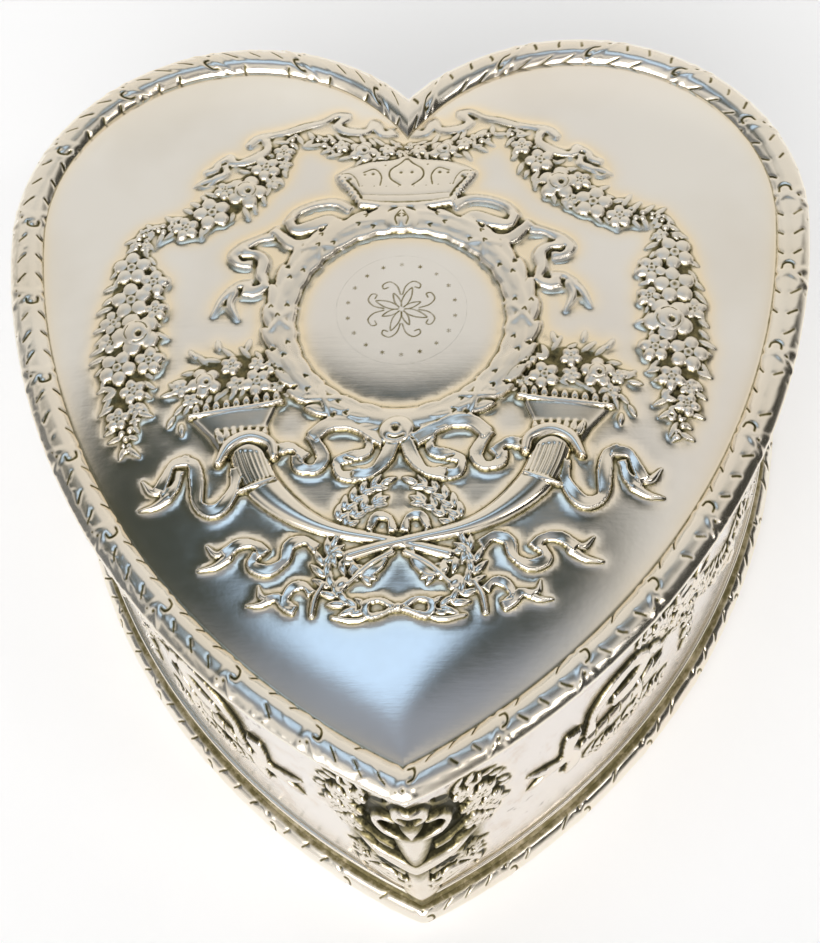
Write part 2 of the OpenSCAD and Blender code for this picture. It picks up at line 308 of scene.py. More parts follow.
def make_mesh(name, points, faces, body, material, stands_for=(), fields=None, flip=False):
    """An object from points in millimetres and face arrays, one array for each number of corners."""
    if fields and "matte" not in fields:
        fields = {**fields, "matte": 0.42 * fields["halo"] ** 2}
    mesh = bpy.data.meshes.new(name)
    points = np.asarray(points, float)
    mesh.vertices.add(len(points))
    mesh.vertices.foreach_set("co", (points * MM).ravel())
    faces = [np.asarray(f, int)[:, ::-1 if flip else 1] for f in faces if len(f)]
    corners = np.concatenate([f.ravel() for f in faces])
    totals = np.concatenate([np.full(len(f), f.shape[1]) for f in faces])
    starts = np.concatenate([[0], np.cumsum(totals)[:-1]])
    mesh.loops.add(len(corners))
    mesh.loops.foreach_set("vertex_index", corners)
    mesh.polygons.add(len(totals))
    mesh.polygons.foreach_set("loop_start", starts)
    mesh.polygons.foreach_set("use_smooth", np.full(len(totals), True))
    for key, values in (fields or {}).items():
        layer = mesh.attributes.new(key, "FLOAT", "POINT")
        layer.data.foreach_set("value", np.asarray(values, float).ravel())
    mesh.update(calc_edges=True)
    mesh.validate()
    piece = bpy.data.objects.new(name, mesh)
    bpy.context.scene.collection.objects.link(piece)
    mesh.materials.append(material)
    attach(piece, body)
    if stands_for:
        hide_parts(*stands_for)
    return piece


def plan_points(x, y, z, side=1):
    """Points in the frame from plan places and heights, on the right side or mirrored to the left."""
    x, y, z = np.broadcast_arrays(x, y, z)
    return np.stack([side * x.ravel(), y.ravel() + LOBE_Y, z.ravel()], 1)


def grid_faces(rows, columns, wrap=False):
    """Quads over a grid of points that is stored row by row. wrap joins the last column to the first."""
    j, i = np.mgrid[0:rows - 1, 0:columns if wrap else columns - 1]
    nxt = (i + 1) % columns
    return np.stack([j * columns + i, j * columns + nxt, (j + 1) * columns + nxt, (j + 1) * columns + i],
                    -1).reshape(-1, 4)


def relief_faces(relief, fine, keep):
    """Faces and the samples that they use: small quads in fine blocks, one face in each other kept block."""
    n = relief.parts
    columns = len(relief.x)
    fine = fine & keep
    j, i = np.nonzero(fine)
    b, a = np.mgrid[0:n, 0:n]
    corner = ((j * n)[:, None, None] + b) * columns + (i * n)[:, None, None] + a
    small = np.stack([corner, corner + 1, corner + columns + 1, corner + columns], -1).reshape(-1, 4)
    padded = np.pad(fine, 1)
    beside = padded[:-2, 1:-1] | padded[2:, 1:-1] | padded[1:-1, :-2] | padded[1:-1, 2:]
    j, i = np.nonzero(keep & ~fine & ~beside)
    corner = j * n * columns + i * n
    large = np.stack([corner, corner + n, corner + n * columns + n, corner + n * columns], -1)
    mixed = {}
    for j, i in zip(*np.nonzero(keep & ~fine & beside)):
        c = j * n * columns + i * n
        sides = [(c, 1, padded[j, i + 1]),
                 (c + n, columns, padded[j + 1, i + 2]),
                 (c + n + n * columns, -1, padded[j + 2, i + 1]),
                 (c + n * columns, -columns, padded[j + 1, i])]
        ring = [start + step * k for start, step, split in sides for k in range(n if split else 1)]
        mixed.setdefault(len(ring), []).append(ring)
    faces = [small, large] + [np.array(f) for f in mixed.values()]
    used = np.unique(np.concatenate([f.ravel() for f in faces if len(f)]))
    place = np.full(relief.h.size, -1)
    place[used] = np.arange(len(used))
    return [place[f] for f in faces if len(f)], used


def fine_blocks(relief):
    """The blocks whose relief isn't plain."""
    n = relief.parts
    busy = (np.abs(relief.h) > 0.004) | (relief.ink > 0.02)
    rows, cols = relief.blocks
    core = busy[:-1, :-1].reshape(rows, n, cols, n).any((1, 3))
    core |= busy[1:, 1:].reshape(rows, n, cols, n).any((1, 3))
    return core


def tarnish(field, line_reach, gap_reach=0.45, gap_depth=0.12, outline=1.0, open_gaps=0.3):
    """From 0 to 1, how dark a sample is: a line round the relief, the gaps within it, and what is inked."""
    raised = np.clip(field.h / 0.35, 0, 1)
    line = np.clip(2.6 * blur(raised, line_reach, field.pitch), 0, 1) * (1 - raised)
    walled = np.clip(3.2 * blur(raised, 2.4 * line_reach, field.pitch) - 1.1, 0, 1) * (1 - raised)
    gaps = np.clip((blur(field.h, gap_reach, field.pitch) - field.h) / gap_depth - 0.1, 0, 1)
    gaps *= np.clip(2.2 * blur(raised, 0.7, field.pitch) - 0.75, open_gaps, 1) * (1 + 0.4 * field.soft)
    slope = np.hypot(*np.gradient(field.h, field.pitch))
    level = field.h / (1.3 * blur(field.h, 0.8, field.pitch) + 0.1)
    foot = np.clip(slope / 1.6 - 0.5, 0, 1) * np.clip(1.15 - level, 0, 1)
    layers = [1.05 * outline * line, 1.2 * walled, 1.1 * gaps, 1.1 * outline * foot, field.ink]
    return np.clip(np.maximum.reduce(layers), 0, 1)


def skirt(field, reach, height):
    """The sheet drawn up round the relief, which makes a bright edge in a dark reflection."""
    close = blur((field.h > 0.12).astype(float), reach, field.pitch)
    return height * close * np.clip((0.8 - close) / 0.25, 0, 1)


# ---------------------------------------------------------------- materials


class Nodes:
    """A small helper that adds and links the shader nodes of a material or a world."""

    def __init__(self, owner):
        owner.use_nodes = True
        self.tree = owner.node_tree
        self.tree.nodes.clear()
        self.coordinates = self.add("ShaderNodeTexCoord").outputs
        self.position = self.coordinates["Object"]

    def add(self, kind, **values):
        node = self.tree.nodes.new(kind)
        for key, value in values.items():
            if hasattr(node, key):
                setattr(node, key, value)
            else:
                self.feed(node.inputs[key.replace("_", " ")], value)
        return node

    def feed(self, socket, value):
        if isinstance(value, bpy.types.NodeSocket):
            self.tree.links.new(value, socket)
        else:
            socket.default_value = value

    def math(self, operation, a, b, clamp=False):
        node = self.add("ShaderNodeMath", operation=operation, use_clamp=clamp)
        self.feed(node.inputs[0], a)
        self.feed(node.inputs[1], b)
        return node.outputs[0]

    def plus(self, a, b):
        return self.math("ADD", a, b)

    def times(self, a, b, clamp=False):
        return self.math("MULTIPLY", a, b, clamp)

    def ramp(self, value, *stops):
        node = self.add("ShaderNodeValToRGB")
        self.feed(node.inputs[0], value)
        elements = node.color_ramp.elements
        while len(elements) < len(stops):
            elements.new(0.5)
        for element, (place, colour) in zip(elements, stops):
            element.position = place
            element.color = (*colour, 1)
        return node.outputs[0]

    def rise(self, value, start, end, top=1.0):
        """0 below start and top above end."""
        return self.ramp(value, (start, (0, 0, 0)), (end, (top, top, top)))

    def mix(self, factor, a, b):
        node = self.add("ShaderNodeMix", data_type="RGBA")
        self.feed(node.inputs["Factor"], factor)
        self.feed(node.inputs[6], a if isinstance(a, bpy.types.NodeSocket) else (*a, 1))
        self.feed(node.inputs[7], b if isinstance(b, bpy.types.NodeSocket) else (*b, 1))
        return node.outputs[2]

    def stretch(self, scale):
        node = self.add("ShaderNodeMapping")
        self.feed(node.inputs["Vector"], self.position)
        node.inputs["Scale"].default_value = scale
        return node.outputs[0]

    def noise(self, scale, detail, roughness, vector=None):
        node = self.add("ShaderNodeTexNoise")
        self.feed(node.inputs["Vector"], vector if vector is not None else self.position)
        node.inputs["Scale"].default_value = scale
        node.inputs["Detail"].default_value = detail
        node.inputs["Roughness"].default_value = roughness
        return node.outputs[0]

    def attribute(self, name):
        return self.add("ShaderNodeAttribute", attribute_name=name).outputs["Fac"]

    def bump(self, height, strength, distance, normal=None):
        node = self.add("ShaderNodeBump")
        node.inputs["Strength"].default_value = strength
        node.inputs["Distance"].default_value = distance
        self.feed(node.inputs["Height"], height)
        if normal is not None:
            self.feed(node.inputs["Normal"], normal)
        return node.outputs[0]


class Finish(Nodes):
    """A material's nodes, with the shader that they lead to."""

    def __init__(self, name):
        self.material = bpy.data.materials.new(name)
        super().__init__(self.material)
        self.shader = self.add("ShaderNodeBsdfPrincipled")
        self.add("ShaderNodeOutputMaterial", Surface=self.shader.outputs[0])

    def set(self, **values):
        for key, value in values.items():
            self.feed(self.shader.inputs[key.replace("_", " ")], value)


def silver(name, tint=(0.93, 0.905, 0.855), rough=0.14, brushed=0.0, fields=True, tarnish_and_shade=1.0, stain=0.0):
    """Old silver: warm, with yellow tarnish round the relief and black-brown in its hollows: tarnish, and
    painted shade where a mesh darkens its hollow field.
    """
    n = Finish(name)
    patch = n.noise(28, 4, 0.55)
    fine = n.noise(420, 3, 0.6)
    cloud = n.rise(patch, 0.40, 0.64)
    colour = n.mix(n.times(cloud, 0.5), tint, (0.82, 0.775, 0.69))
    colour = n.mix(n.rise(n.noise(13, 3, 0.5), 0.42, 0.7, 0.5), colour, (0.86, 0.79, 0.745))
    if stain:
        blotch = n.rise(n.noise(130, 5, 0.72), 0.53, 0.68)
        colour = n.mix(n.times(blotch, stain), colour, (0.60, 0.46, 0.33))
        speck = n.rise(n.noise(330, 3, 0.6), 0.64, 0.70)
        colour = n.mix(n.times(speck, n.plus(n.times(cloud, stain), 0.15)), colour, (0.22, 0.16, 0.10))
    roughness = n.plus(n.times(fine, 0.06), rough - 0.03)
    if fields:
        halo = n.attribute("halo")
        pitting = n.plus(n.times(n.noise(600, 4, 0.7), 1.3), 0.2)
        warm = n.times(halo, n.plus(n.times(patch, 1.1), 0.35), True)
        colour = n.mix(warm, colour, (1.0, 0.86, 0.63))
        # Painted shade: the hollow field carries painted shade on the sides and the foot as well as tarnish,
        # and this factor scales both.
        hollow = n.times(n.attribute("hollow"), n.times(pitting, tarnish_and_shade), True)
        colour = n.mix(n.rise(hollow, 0.12, 0.5), colour, (0.32, 0.27, 0.13))
        colour = n.mix(n.rise(hollow, 0.42, 0.9), colour, (0.048, 0.043, 0.022))
        matte = n.math("MAXIMUM", n.times(hollow, 0.3), n.attribute("matte"))
        roughness = n.plus(roughness, matte)
    scratch = n.noise(60, 5, 0.65, n.stretch((1.0, 22.0, 22.0)))
    height = n.plus(n.times(fine, 0.35), n.times(scratch, brushed))
    normal = n.bump(height, 0.12, 0.0002)
    dents = n.bump(n.noise(55, 2, 0.4), 0.10, 0.0006, normal)
    n.set(Base_Color=colour, Metallic=1.0, Roughness=roughness, Normal=dents)
    return n.material


def plain_metal(name, tint, rough, tarnish):
    """A satin metal with cloudy tarnish."""
    n = Finish(name)
    patch = n.noise(60, 4, 0.6)
    grain = n.noise(900, 3, 0.6)
    colour = n.mix(n.rise(patch, 0.4, 0.8), tint, tarnish)
    n.set(Base_Color=colour, Metallic=1.0, Roughness=n.plus(n.times(grain, 0.08), rough),
          Normal=n.bump(grain, 0.05, 0.00005))
    return n.material


def velvet(name, colour, deep):
    """Silk velvet, whose pile lies in soft streaks and has a pale sheen."""
    n = Finish(name)
    nap = n.noise(38, 4, 0.6)
    pile = n.noise(3200, 2, 0.7)
    lay = n.noise(120, 3, 0.6, n.stretch((1.0, 0.35, 1.0)))
    tone = n.plus(n.times(nap, 0.55), n.times(lay, 0.45))
    base = n.mix(n.rise(tone, 0.15, 0.9), deep, colour)
    base = n.mix(n.times(n.rise(pile, 0.35, 0.7), 0.35), base, deep)
    n.set(Base_Color=base, Roughness=0.85, Sheen_Weight=0.9, Sheen_Roughness=0.38,
          Sheen_Tint=(0.95, 0.45, 0.52, 1), Specular_IOR_Level=0.15,
          Normal=n.bump(pile, 0.5, 0.0003, n.bump(lay, 0.25, 0.0008)))
    return n.material


def wood(name):
    """Oiled mahogany with its grain along X."""
    n = Finish(name)
    rings = n.noise(9, 5, 0.6, n.stretch((1.0, 9.0, 9.0)))
    grain = n.noise(60, 5, 0.7, n.stretch((1.0, 16.0, 16.0)))
    tone = n.plus(n.times(rings, 0.6), n.times(grain, 0.4))
    base = n.ramp(tone, (0.28, (0.12, 0.05, 0.025)), (0.5, (0.27, 0.13, 0.06)), (0.75, (0.42, 0.22, 0.11)))
    n.set(Base_Color=base, Roughness=n.plus(n.times(grain, 0.2), 0.4),
          Normal=n.bump(grain, 0.3, 0.0003))
    return n.material


def leather_cloth(name, dark, light):
    """A cloth with a pebbled grain, a little worn."""
    n = Finish(name)
    cells = n.add("ShaderNodeTexVoronoi", feature="DISTANCE_TO_EDGE")
    n.feed(cells.inputs["Vector"], n.position)
    cells.inputs["Scale"].default_value = 850
    wear = n.noise(30, 4, 0.6)
    base = n.mix(n.rise(wear, 0.35, 0.8), dark, light)
    n.set(Base_Color=base, Roughness=n.plus(n.times(wear, 0.2), 0.5),
          Normal=n.bump(cells.outputs[0], 0.5, 0.0002))
    return n.material


SILVER_DOME = silver("silver_dome", brushed=0.25)
SILVER_ROLL = silver("silver_moulding", rough=0.16, tarnish_and_shade=1.1)
SILVER_SIDE = silver("silver_side", (0.84, 0.80, 0.76), rough=0.2, tarnish_and_shade=1.35, stain=0.4)
SILVER_PLAIN = silver("silver_plain", fields=False)
GILT = plain_metal("gilt", (0.90, 0.72, 0.40), 0.2, (0.72, 0.50, 0.24))
HINGE_METAL = plain_metal("hinge_metal", (0.80, 0.77, 0.70), 0.22, (0.45, 0.38, 0.27))
VELVET = velvet("velvet", (0.34, 0.035, 0.085), (0.13, 0.008, 0.03))
WOOD = wood("carcass_wood")
LEATHER = leather_cloth("base_leather", (0.045, 0.030, 0.028), (0.10, 0.072, 0.062))
CARD = leather_cloth("lining_card", (0.20, 0.06, 0.08), (0.27, 0.09, 0.11))


# ---------------------------------------------------------------- the lid's dome

DOME_INSET = 7.1
DOME_EDGE = box_mm("lid_panel")[0][2] + 0.8
DOME_RISE = 5.0
DOME_CENTRE = (0.0, -25.0)
PLAN = Relief(-78, 78, -124, 44, 1.0, 5)


def smooth_distance(x, y):
    """A distance from the dome's edge that is exact near it and blends all round in the middle."""
    pull = np.zeros(np.broadcast(x, y).shape)
    edge = np.stack(half_points(np.linspace(0, 1, 221), DOME_INSET), 1)
    middle = (edge[1:] + edge[:-1]) / 2
    length = np.linalg.norm(np.diff(edge, axis=0), axis=1)
    for side, _ in SIDES:
        for (mx, my), l in zip(middle, length):
            pull += l / np.maximum(np.hypot(x - side * mx, y - my), 0.5) ** 3
    return (pull / 2) ** -0.5


def widen(coarse_n, parts):
    """The matrix that takes samples one block apart to samples one part apart, by cubic curves."""
    fine_n = (coarse_n - 1) * parts + 1
    matrix = np.zeros((fine_n, coarse_n))
    for r in range(fine_n):
        k, t = divmod(r, parts)
        t /= parts
        weights = [(-t + 2 * t * t - t ** 3) / 2, (2 - 5 * t * t + 3 * t ** 3) / 2,
                   (t + 4 * t * t - 3 * t ** 3) / 2, (-t * t + t ** 3) / 2]
        for offset, w in zip((-1, 0, 1, 2), weights):
            matrix[r, min(max(k + offset, 0), coarse_n - 1)] += w
    return matrix


def dome_heights():
    """The plain dome under the relief, on every sample of the plan."""
    x, y = PLAN.x[::PLAN.parts][None, :], PLAN.y[::PLAN.parts][:, None]
    crown = smooth_distance(np.array(DOME_CENTRE[0]), np.array(DOME_CENTRE[1]))
    smooth = smooth_distance(x, y)
    smooth = widen(smooth.shape[0], PLAN.parts) @ smooth @ widen(smooth.shape[1], PLAN.parts).T
    depth = inset_at(PLAN.x[None, :], PLAN.y[:, None]) - DOME_INSET
    far = np.clip((depth - 1.0) / 3.0, 0, 1)
    far = far * far * (3 - 2 * far)
    s = np.clip((depth + far * (smooth - depth)) / crown, 0, 1)
    return DOME_EDGE + np.where(depth > 0, DOME_RISE * (1 - (1 - s) ** 2.5), 0.2 * depth)


# ---------------------------------------------------------------- the ornament of the dome

ORNAMENT_X = -0.8
WREATH = (ORNAMENT_X, -28.0)
WREATH_R = 24.0
WREATH_HALF = 3.1
RELIEF = 1.35
MEDALLION_RISE = 0.55


def mirrored(points, side):
    """The right side's points, or their mirror images about the ornament's middle line."""
    return [(x if side > 0 else 2 * ORNAMENT_X - x, y) for x, y in points]


def mirrored_discs(discs, side):
    """The same for blossoms, which are given by their centre and radius."""
    return [(*mirrored([(x, y)], side)[0], r) for x, y, r in discs]


def ribbons(field, side, bands, ends=()):
    """Bands by their knots, width, height, level, twist at the start and turns, then their pointed ends."""
    for knots, *shape in bands:
        field.ribbon(mirrored(knots, side), *shape)
    for knots, *shape in ends:
        field.rod(mirrored(knots, side), *shape)


def garland(field, line, widths, side, seed, height, roses=(), big=(), leaf_share=0.3):
    """Blossoms packed along a line, with a few leaf tips round the edge and dark tarnish between them."""
    rng = np.random.default_rng(seed)
    path = spline(mirrored(line, side), 0.25)
    ahead = headings(path)
    shares = np.linspace(0, 1, len(widths))
    half = np.interp(np.linspace(0, 1, len(path)), shares, widths) / 2
    length = 0.25 * len(path)
    roses, big = mirrored_discs(roses, side), mirrored_discs(big, side)
    for t in np.arange(0, 1, 2.3 / length):
        k = int(t * (len(path) - 1))
        out = np.array([-ahead[k][1], ahead[k][0]])
        heading = math.atan2(ahead[k][1], ahead[k][0])
        for s in (1, -1):
            edge = path[k] + s * out * max(half[k] - 1.7, 0)
            lean = s * (0.35 + 1.0 * rng.random())
            field.leaf(*edge, heading + lean, 2.4 + 1.9 * rng.random(), 1.5, 0.55 * height)
    placed = [(x, y, 0.95 * r) for x, y, r in (*roses, *big)]
    for t in np.arange(0.01, 1, 0.6 / length):
        k = int(t * (len(path) - 1))
        out = np.array([-ahead[k][1], ahead[k][0]])
        for v in rng.uniform(-1, 1, 7):
            r = np.clip(0.52 * half[k], 0.7, 3.0) * (0.72 + 0.34 * rng.random())
            x, y = path[k] + out * v * max(half[k] - 0.85 * r, 0.05)
            if any(math.hypot(x - a, y - b) < 0.83 * (r + c) for a, b, c in placed):
                continue
            placed.append((x, y, r))
            level = height * (0.62 + 0.38 * math.sqrt(1 - v * v))
            if rng.random() < leaf_share:
                turn = rng.random() * 6.3
                for spread in (-0.5, 0.5):
                    field.leaf(*polar(x, y, -0.6 * r, turn), turn + spread, 1.9 * r, 1.1 * r, level)
            elif r > 0.95:
                field.flower(x, y, 1.08 * r, level, 5 if r > 1.3 else 4, rng.random() * 6.3)
            else:
                field.ball(x, y, 0.9 * r, level)
    for x, y, r in big:
        field.flower(x, y, r, 1.15 * height, 5, rng.random() * 6, 0.1 * height)
    for x, y, r in roses:
        field.rose(x, y, r, 1.3 * height, rng.random() * 6, 0.15 * height)
    part, along, across, total = field.near(path, max(widths) / 2 + 1)
    edge = np.interp(along / total, shares, widths) / 2
    inside = np.clip(np.minimum(along, total - along) - 1.2, 0, 1)
    bed = inside * np.clip((edge - 0.6 - np.abs(across)) / 0.6, 0, 1)
    field.soft[part] = np.maximum(field.soft[part], np.clip(edge + 1.5 - np.abs(across), 0, 1))
    field.stain(part, 0.8 * bed * (1 - np.clip(field.h[part] / 0.65, 0, 1)))


def laurel(field, line, side, height, leaf_length):
    """Pairs of leaves that lean along a stem, with one more at its tip."""
    step, pair_step = 0.25, 2.3
    path = spline(mirrored(line, side), step)
    ahead = np.gradient(path, axis=0)
    for k in range(0, len(path), int(pair_step / step)):
        heading = math.atan2(ahead[k][1], ahead[k][0])
        for s in (1, -1):
            field.leaf(*path[k], heading + 0.5 * s, leaf_length, 2.0, height * (0.9 + 0.1 * s))
    field.leaf(*path[-1], heading, leaf_length, 2.0, height)


def wreath(field):
    """The ring of bay leaves round the medallion, bound with crossed ribbon."""
    cx, cy = WREATH
    reach = WREATH_R + WREATH_HALF
    part, X, Y = field.window(cx - reach, cx + reach, cy - reach, cy + reach)
    v = (np.hypot(X - cx, Y - cy) - WREATH_R) / WREATH_HALF
    field.lift(part, np.where(np.abs(v) < 1, 1.05 * RELIEF * np.maximum(1 - v * v, 0) ** 0.42, 0))

    def place(turn, v):
        """A point on the ring, by its angle from the bottom and its share of the half width."""
        return polar(cx, cy, WREATH_R + v * WREATH_HALF, turn - math.pi / 2)

    leaves = 15
    for side, _ in SIDES:
        for k in range(leaves):
            for row, v0 in enumerate((-0.52, 0.0, 0.52)):
                turn = side * ((k + (0.5 if row == 1 else 0.0)) / leaves * math.pi * 0.93 + 0.14)
                spot = place(turn, v0)
                heading = math.atan2(math.sin(turn) * side, math.cos(turn) * side)
                level = 1.05 * RELIEF * (1 - v0 * v0) ** 0.42
                field.leaf(*spot, heading - side * v0 * 0.45, 5.8, 2.7, 0.15, level - 0.06)
                tip = polar(*spot, 5.3, heading)
                if (k + row) % 2:
                    for spread in (0.5, -0.5):
                        field.groove([tip, polar(*tip, -0.9, heading + spread)], 0.2, 0.42, 0.95)
    for turn in np.radians([38, 90, 137, -38, -90, -137]):
        for lean in (0.22, -0.22):
            path = spline([place(turn + lean * v0 * 0.75, v0) for v0 in (-1.0, -0.5, 0, 0.5, 1.0)])
            part, along, across, total = field.near(path, 0.8)
            bulge = 1.05 * RELIEF * np.maximum(1 - (2 * np.clip(along / total, 0, 1) - 1) ** 2, 0) ** 0.42
            inside = (np.abs(across) < 0.65) & (along > 0) & (along < total)
            field.lift(part, np.where(inside, bulge + 0.24 - 0.1 * (across / 0.65) ** 2, 0))
    top = cy + WREATH_R
    field.ball(cx, top - 0.2, 3.1, 0.55, RELIEF, 1.1)
    field.ball(cx, top - 0.2, 1.1, 0.25, RELIEF + 0.5, 1.7, math.pi / 2)
    for s in (-1, 1):
        field.groove([(cx + 0.9 * s, top - 1.8), (cx + 1.3 * s, top), (cx + 0.2 * s, top + 2.0)], 0.2, 0.4)


def medallion(field):
    """The smooth oval inside the wreath, with an engraved ring of small stars round a plain flourish."""
    cx, cy = ORNAMENT_X + 0.1, -26.0
    field.groove([polar(cx, cy, 13, a) for a in np.linspace(0, 2 * math.pi, 61)], 0.13, 0.03, 0.24)
    for k in range(18):
        star = polar(cx, cy, 10.8, math.radians(20 * k + 10))
        for spoke in range(3):
            b = spoke * math.pi / 3 + 0.5
            field.groove([polar(*star, -0.5, b), polar(*star, 0.5, b)], 0.12, 0.05, 0.6)
    for k in range(8):
        a = math.pi / 4 * k + math.pi / 8
        tip = 5.6 if k % 2 else 4.2
        for lean in (0.544, -0.544):
            petal = [polar(cx, cy, q * tip, a + lean * (1 - q)) for q in (0.12, 0.35, 0.6, 0.85, 1.0)]
            field.groove(petal, 0.16, 0.06, 0.7)
    curl = ((3.4, 0.05), (5.6, 0.16), (7.0, 0.34), (7.0, 0.56), (6.1, 0.62), (5.9, 0.45))
    for k in range(4):
        for s in (1, -1):
            field.groove([polar(cx, cy, r, math.pi / 2 * k + s * b) for r, b in curl], 0.16, 0.06, 0.7)


def coronet(field):
    """A plain five-lobed coronet over the wreath, engraved with arches and dots."""
    height = 0.85
    half = [(9.3, 0.0), (9.9, 1.6), (11.6, 3.8), (13.6, 5.8), (14.5, 7.6), (13.6, 9.2), (11.6, 10.6),
            (9.0, 11.9), (6.0, 12.7), (3.2, 13.2), (1.4, 14.0), (0, 15.2)]
    outline = spline(half, 0.5)
    points = np.vstack([outline, outline[::-1] * (-1, 1)])
    part, X, Y = field.window(-15, 15, -1, 16)
    inside = np.zeros((Y.size, X.size), bool)
    for (ax, ay), (bx, by) in zip(points, np.roll(points, -1, 0)):
        inside ^= ((ay > Y) != (by > Y)) & (X < (bx - ax) * (Y - ay) / (by - ay + 1e-9) + ax)
    swell = blur(inside.astype(float), 0.9, field.pitch)
    field.lift(part, np.where(inside, height * (0.35 + 0.75 * swell), 0))
    field.rod([(-9.2, 0.5), (-5, -0.2), (0, -0.4), (5, -0.2), (9.2, 0.5)], (1.5, 1.5), 0.5, height)
    grooves = ((((9.0, 1.9), (10.2, 4.2), (12.4, 7.0)), 0.22, 0.5, 0.95),
               (((1.1, 5.2), (3.3, 7.4), (3.3, 9.8), (1.2, 12.0), (0, 13.9)), 0.2, 0.42, 0.9),
               (((5.4, 5.2), (5.2, 8.0), (6.6, 10.0), (9.0, 9.0)), 0.18, 0.36, 0.8),
               (((9.6, 5.0), (10.4, 7.2), (11.6, 8.6), (13.0, 8.8)), 0.16, 0.3, 0.7))
    dots = ((1.15, 9.0, 0.4, 0.4), (6.9, 8.6, 0.4, 0.4), (8.6, 8.4, 0.32, 0.35), (11.6, 7.2, 0.4, 0.4),
            (4.4, 11.2, 0.25, 0.3, 0.7))
    for s in (1, -1):
        for k in range(7):
            field.ball(s * (9.9 + 0.66 * k), 1.5 + 1.1 * k, 0.66, 0.5, height * 0.8)
            field.pit(s * (9.35 + 0.66 * k), 2.1 + 1.1 * k, 0.2, 0.3, 0.9)
        for line, *cut in grooves:
            field.groove([(s * x, y) for x, y in line], *cut)
        for x, *dot in dots:
            field.pit(s * x, *dot)
        for k in range(4):
            field.pit(s * (1.6 + 2.5 * k), 4.9 + 0.1 * k, 0.2, 0.22, 0.6)
            field.leaf(s * (1.6 + 2.5 * k), 3.2, math.pi / 2, 2.0, 1.1, 0.25, height * 0.85)
    for k in range(9):
        field.ball(2.15 * (k - 4), 2.0, 0.42, 0.3, height * 0.85)
    field.groove([(-9.0, 2.9), (-4, 2.6), (0, 2.5), (4, 2.6), (9.0, 2.9)], 0.14, 0.22, 0.5)


def cornucopia(field, side):
    """A horn whose tip crosses the other's, with a flared cup, a collar and a heap of flowers."""

    def place(*points):
        return mirrored(points, side)

    garland(field, [(22.5, -42.0), (29, -39.5), (36, -41), (42.5, -45.5)], (6.5, 9.5, 10.0, 7.0), side,
            31 + side, 1.0, roses=[(37.5, -41.8, 3.2)],
            big=[(27.2, -42.2, 3.1), (32.5, -38.2, 2.2), (23.8, -38.6, 2.1)])
    for x, y, a in ((41.5, -46.5, -0.9), (43.2, -48.8, -1.1), (41.8, -50.6, -1.7),
                    (43.4, -43.6, -0.2), (39.5, -36.4, 1.0), (35.0, -34.8, 1.4),
                    (29.6, -34.8, 1.8), (25.0, -35.6, 2.1), (22.0, -45.0, 3.4)):
        field.leaf(*place((x, y))[0], facing(a, side), 3.0, 1.3, 0.7)
    field.rod(place((-10.0, -80.6), (-4, -78.9), (3, -77.3), (11, -75.4), (17, -72.6), (22.5, -68.2),
                    (26.3, -63.4), (28.3, -57.5)), (2.6, 2.3, 2.5, 3.0, 4.2, 5.8, 7.2, 8.0), 1.25 * RELIEF,
              0.0 if side < 0 else 0.18)
    for k in range(-3, 4):
        field.groove(place((28.6 + 0.95 * k, -58.2 + 0.1 * k), (27.4 + 0.9 * k, -61.6 - 0.1 * k),
                           (26.0 + 0.82 * k, -64.8 - 0.2 * k)), 0.15, 0.16, 0.45)
    field.rod(place((22.9, -64.2), (25.8, -65.3), (29.4, -66.6)), (0.8, 1.0, 0.8), 0.25, 1.2 * RELIEF)
    field.rod(place((29.0, -57.5), (30.2, -53.0), (31.2, -48.4)), (8.6, 11.6, 17.4), RELIEF, 0.1, 0.35, False)
    for k in range(-3, 4):
        lean = side * (0.10 * k + 0.12)
        field.leaf(*place((29.3 + 1.25 * k, -56.2))[0], math.pi / 2 - lean, 3.6, 1.7, 0.35, 0.95 * RELIEF)
    field.rod(place((22.2, -47.0), (27, -47.9), (33, -48.7), (40.0, -49.6)),
              (1.0, 1.2, 1.2, 0.9), 0.3, RELIEF)
    for k in range(9):
        x, y = place((23.2 + 1.95 * k, -46.3 - 0.3 * k))[0]
        field.leaf(x, y - 0.8, math.pi / 2, 2.7, 2.0, 1.1, 0.4 * RELIEF)
        field.pit(x, y, 0.35, 0.35, 0.6)
    field.rod(place((23.2, -59.2), (24.2, -56.2), (28.0, -54.7), (31.8, -56.4), (33.9, -60.2)),
              (1.7, 2.4, 2.6, 2.4, 1.5), 0.75, RELIEF)
    field.groove(place((24.4, -59.4), (25.6, -57.4), (28.4, -56.4), (31.2, -57.8), (32.8, -60.6)),
                 0.2, 0.5, 0.8)


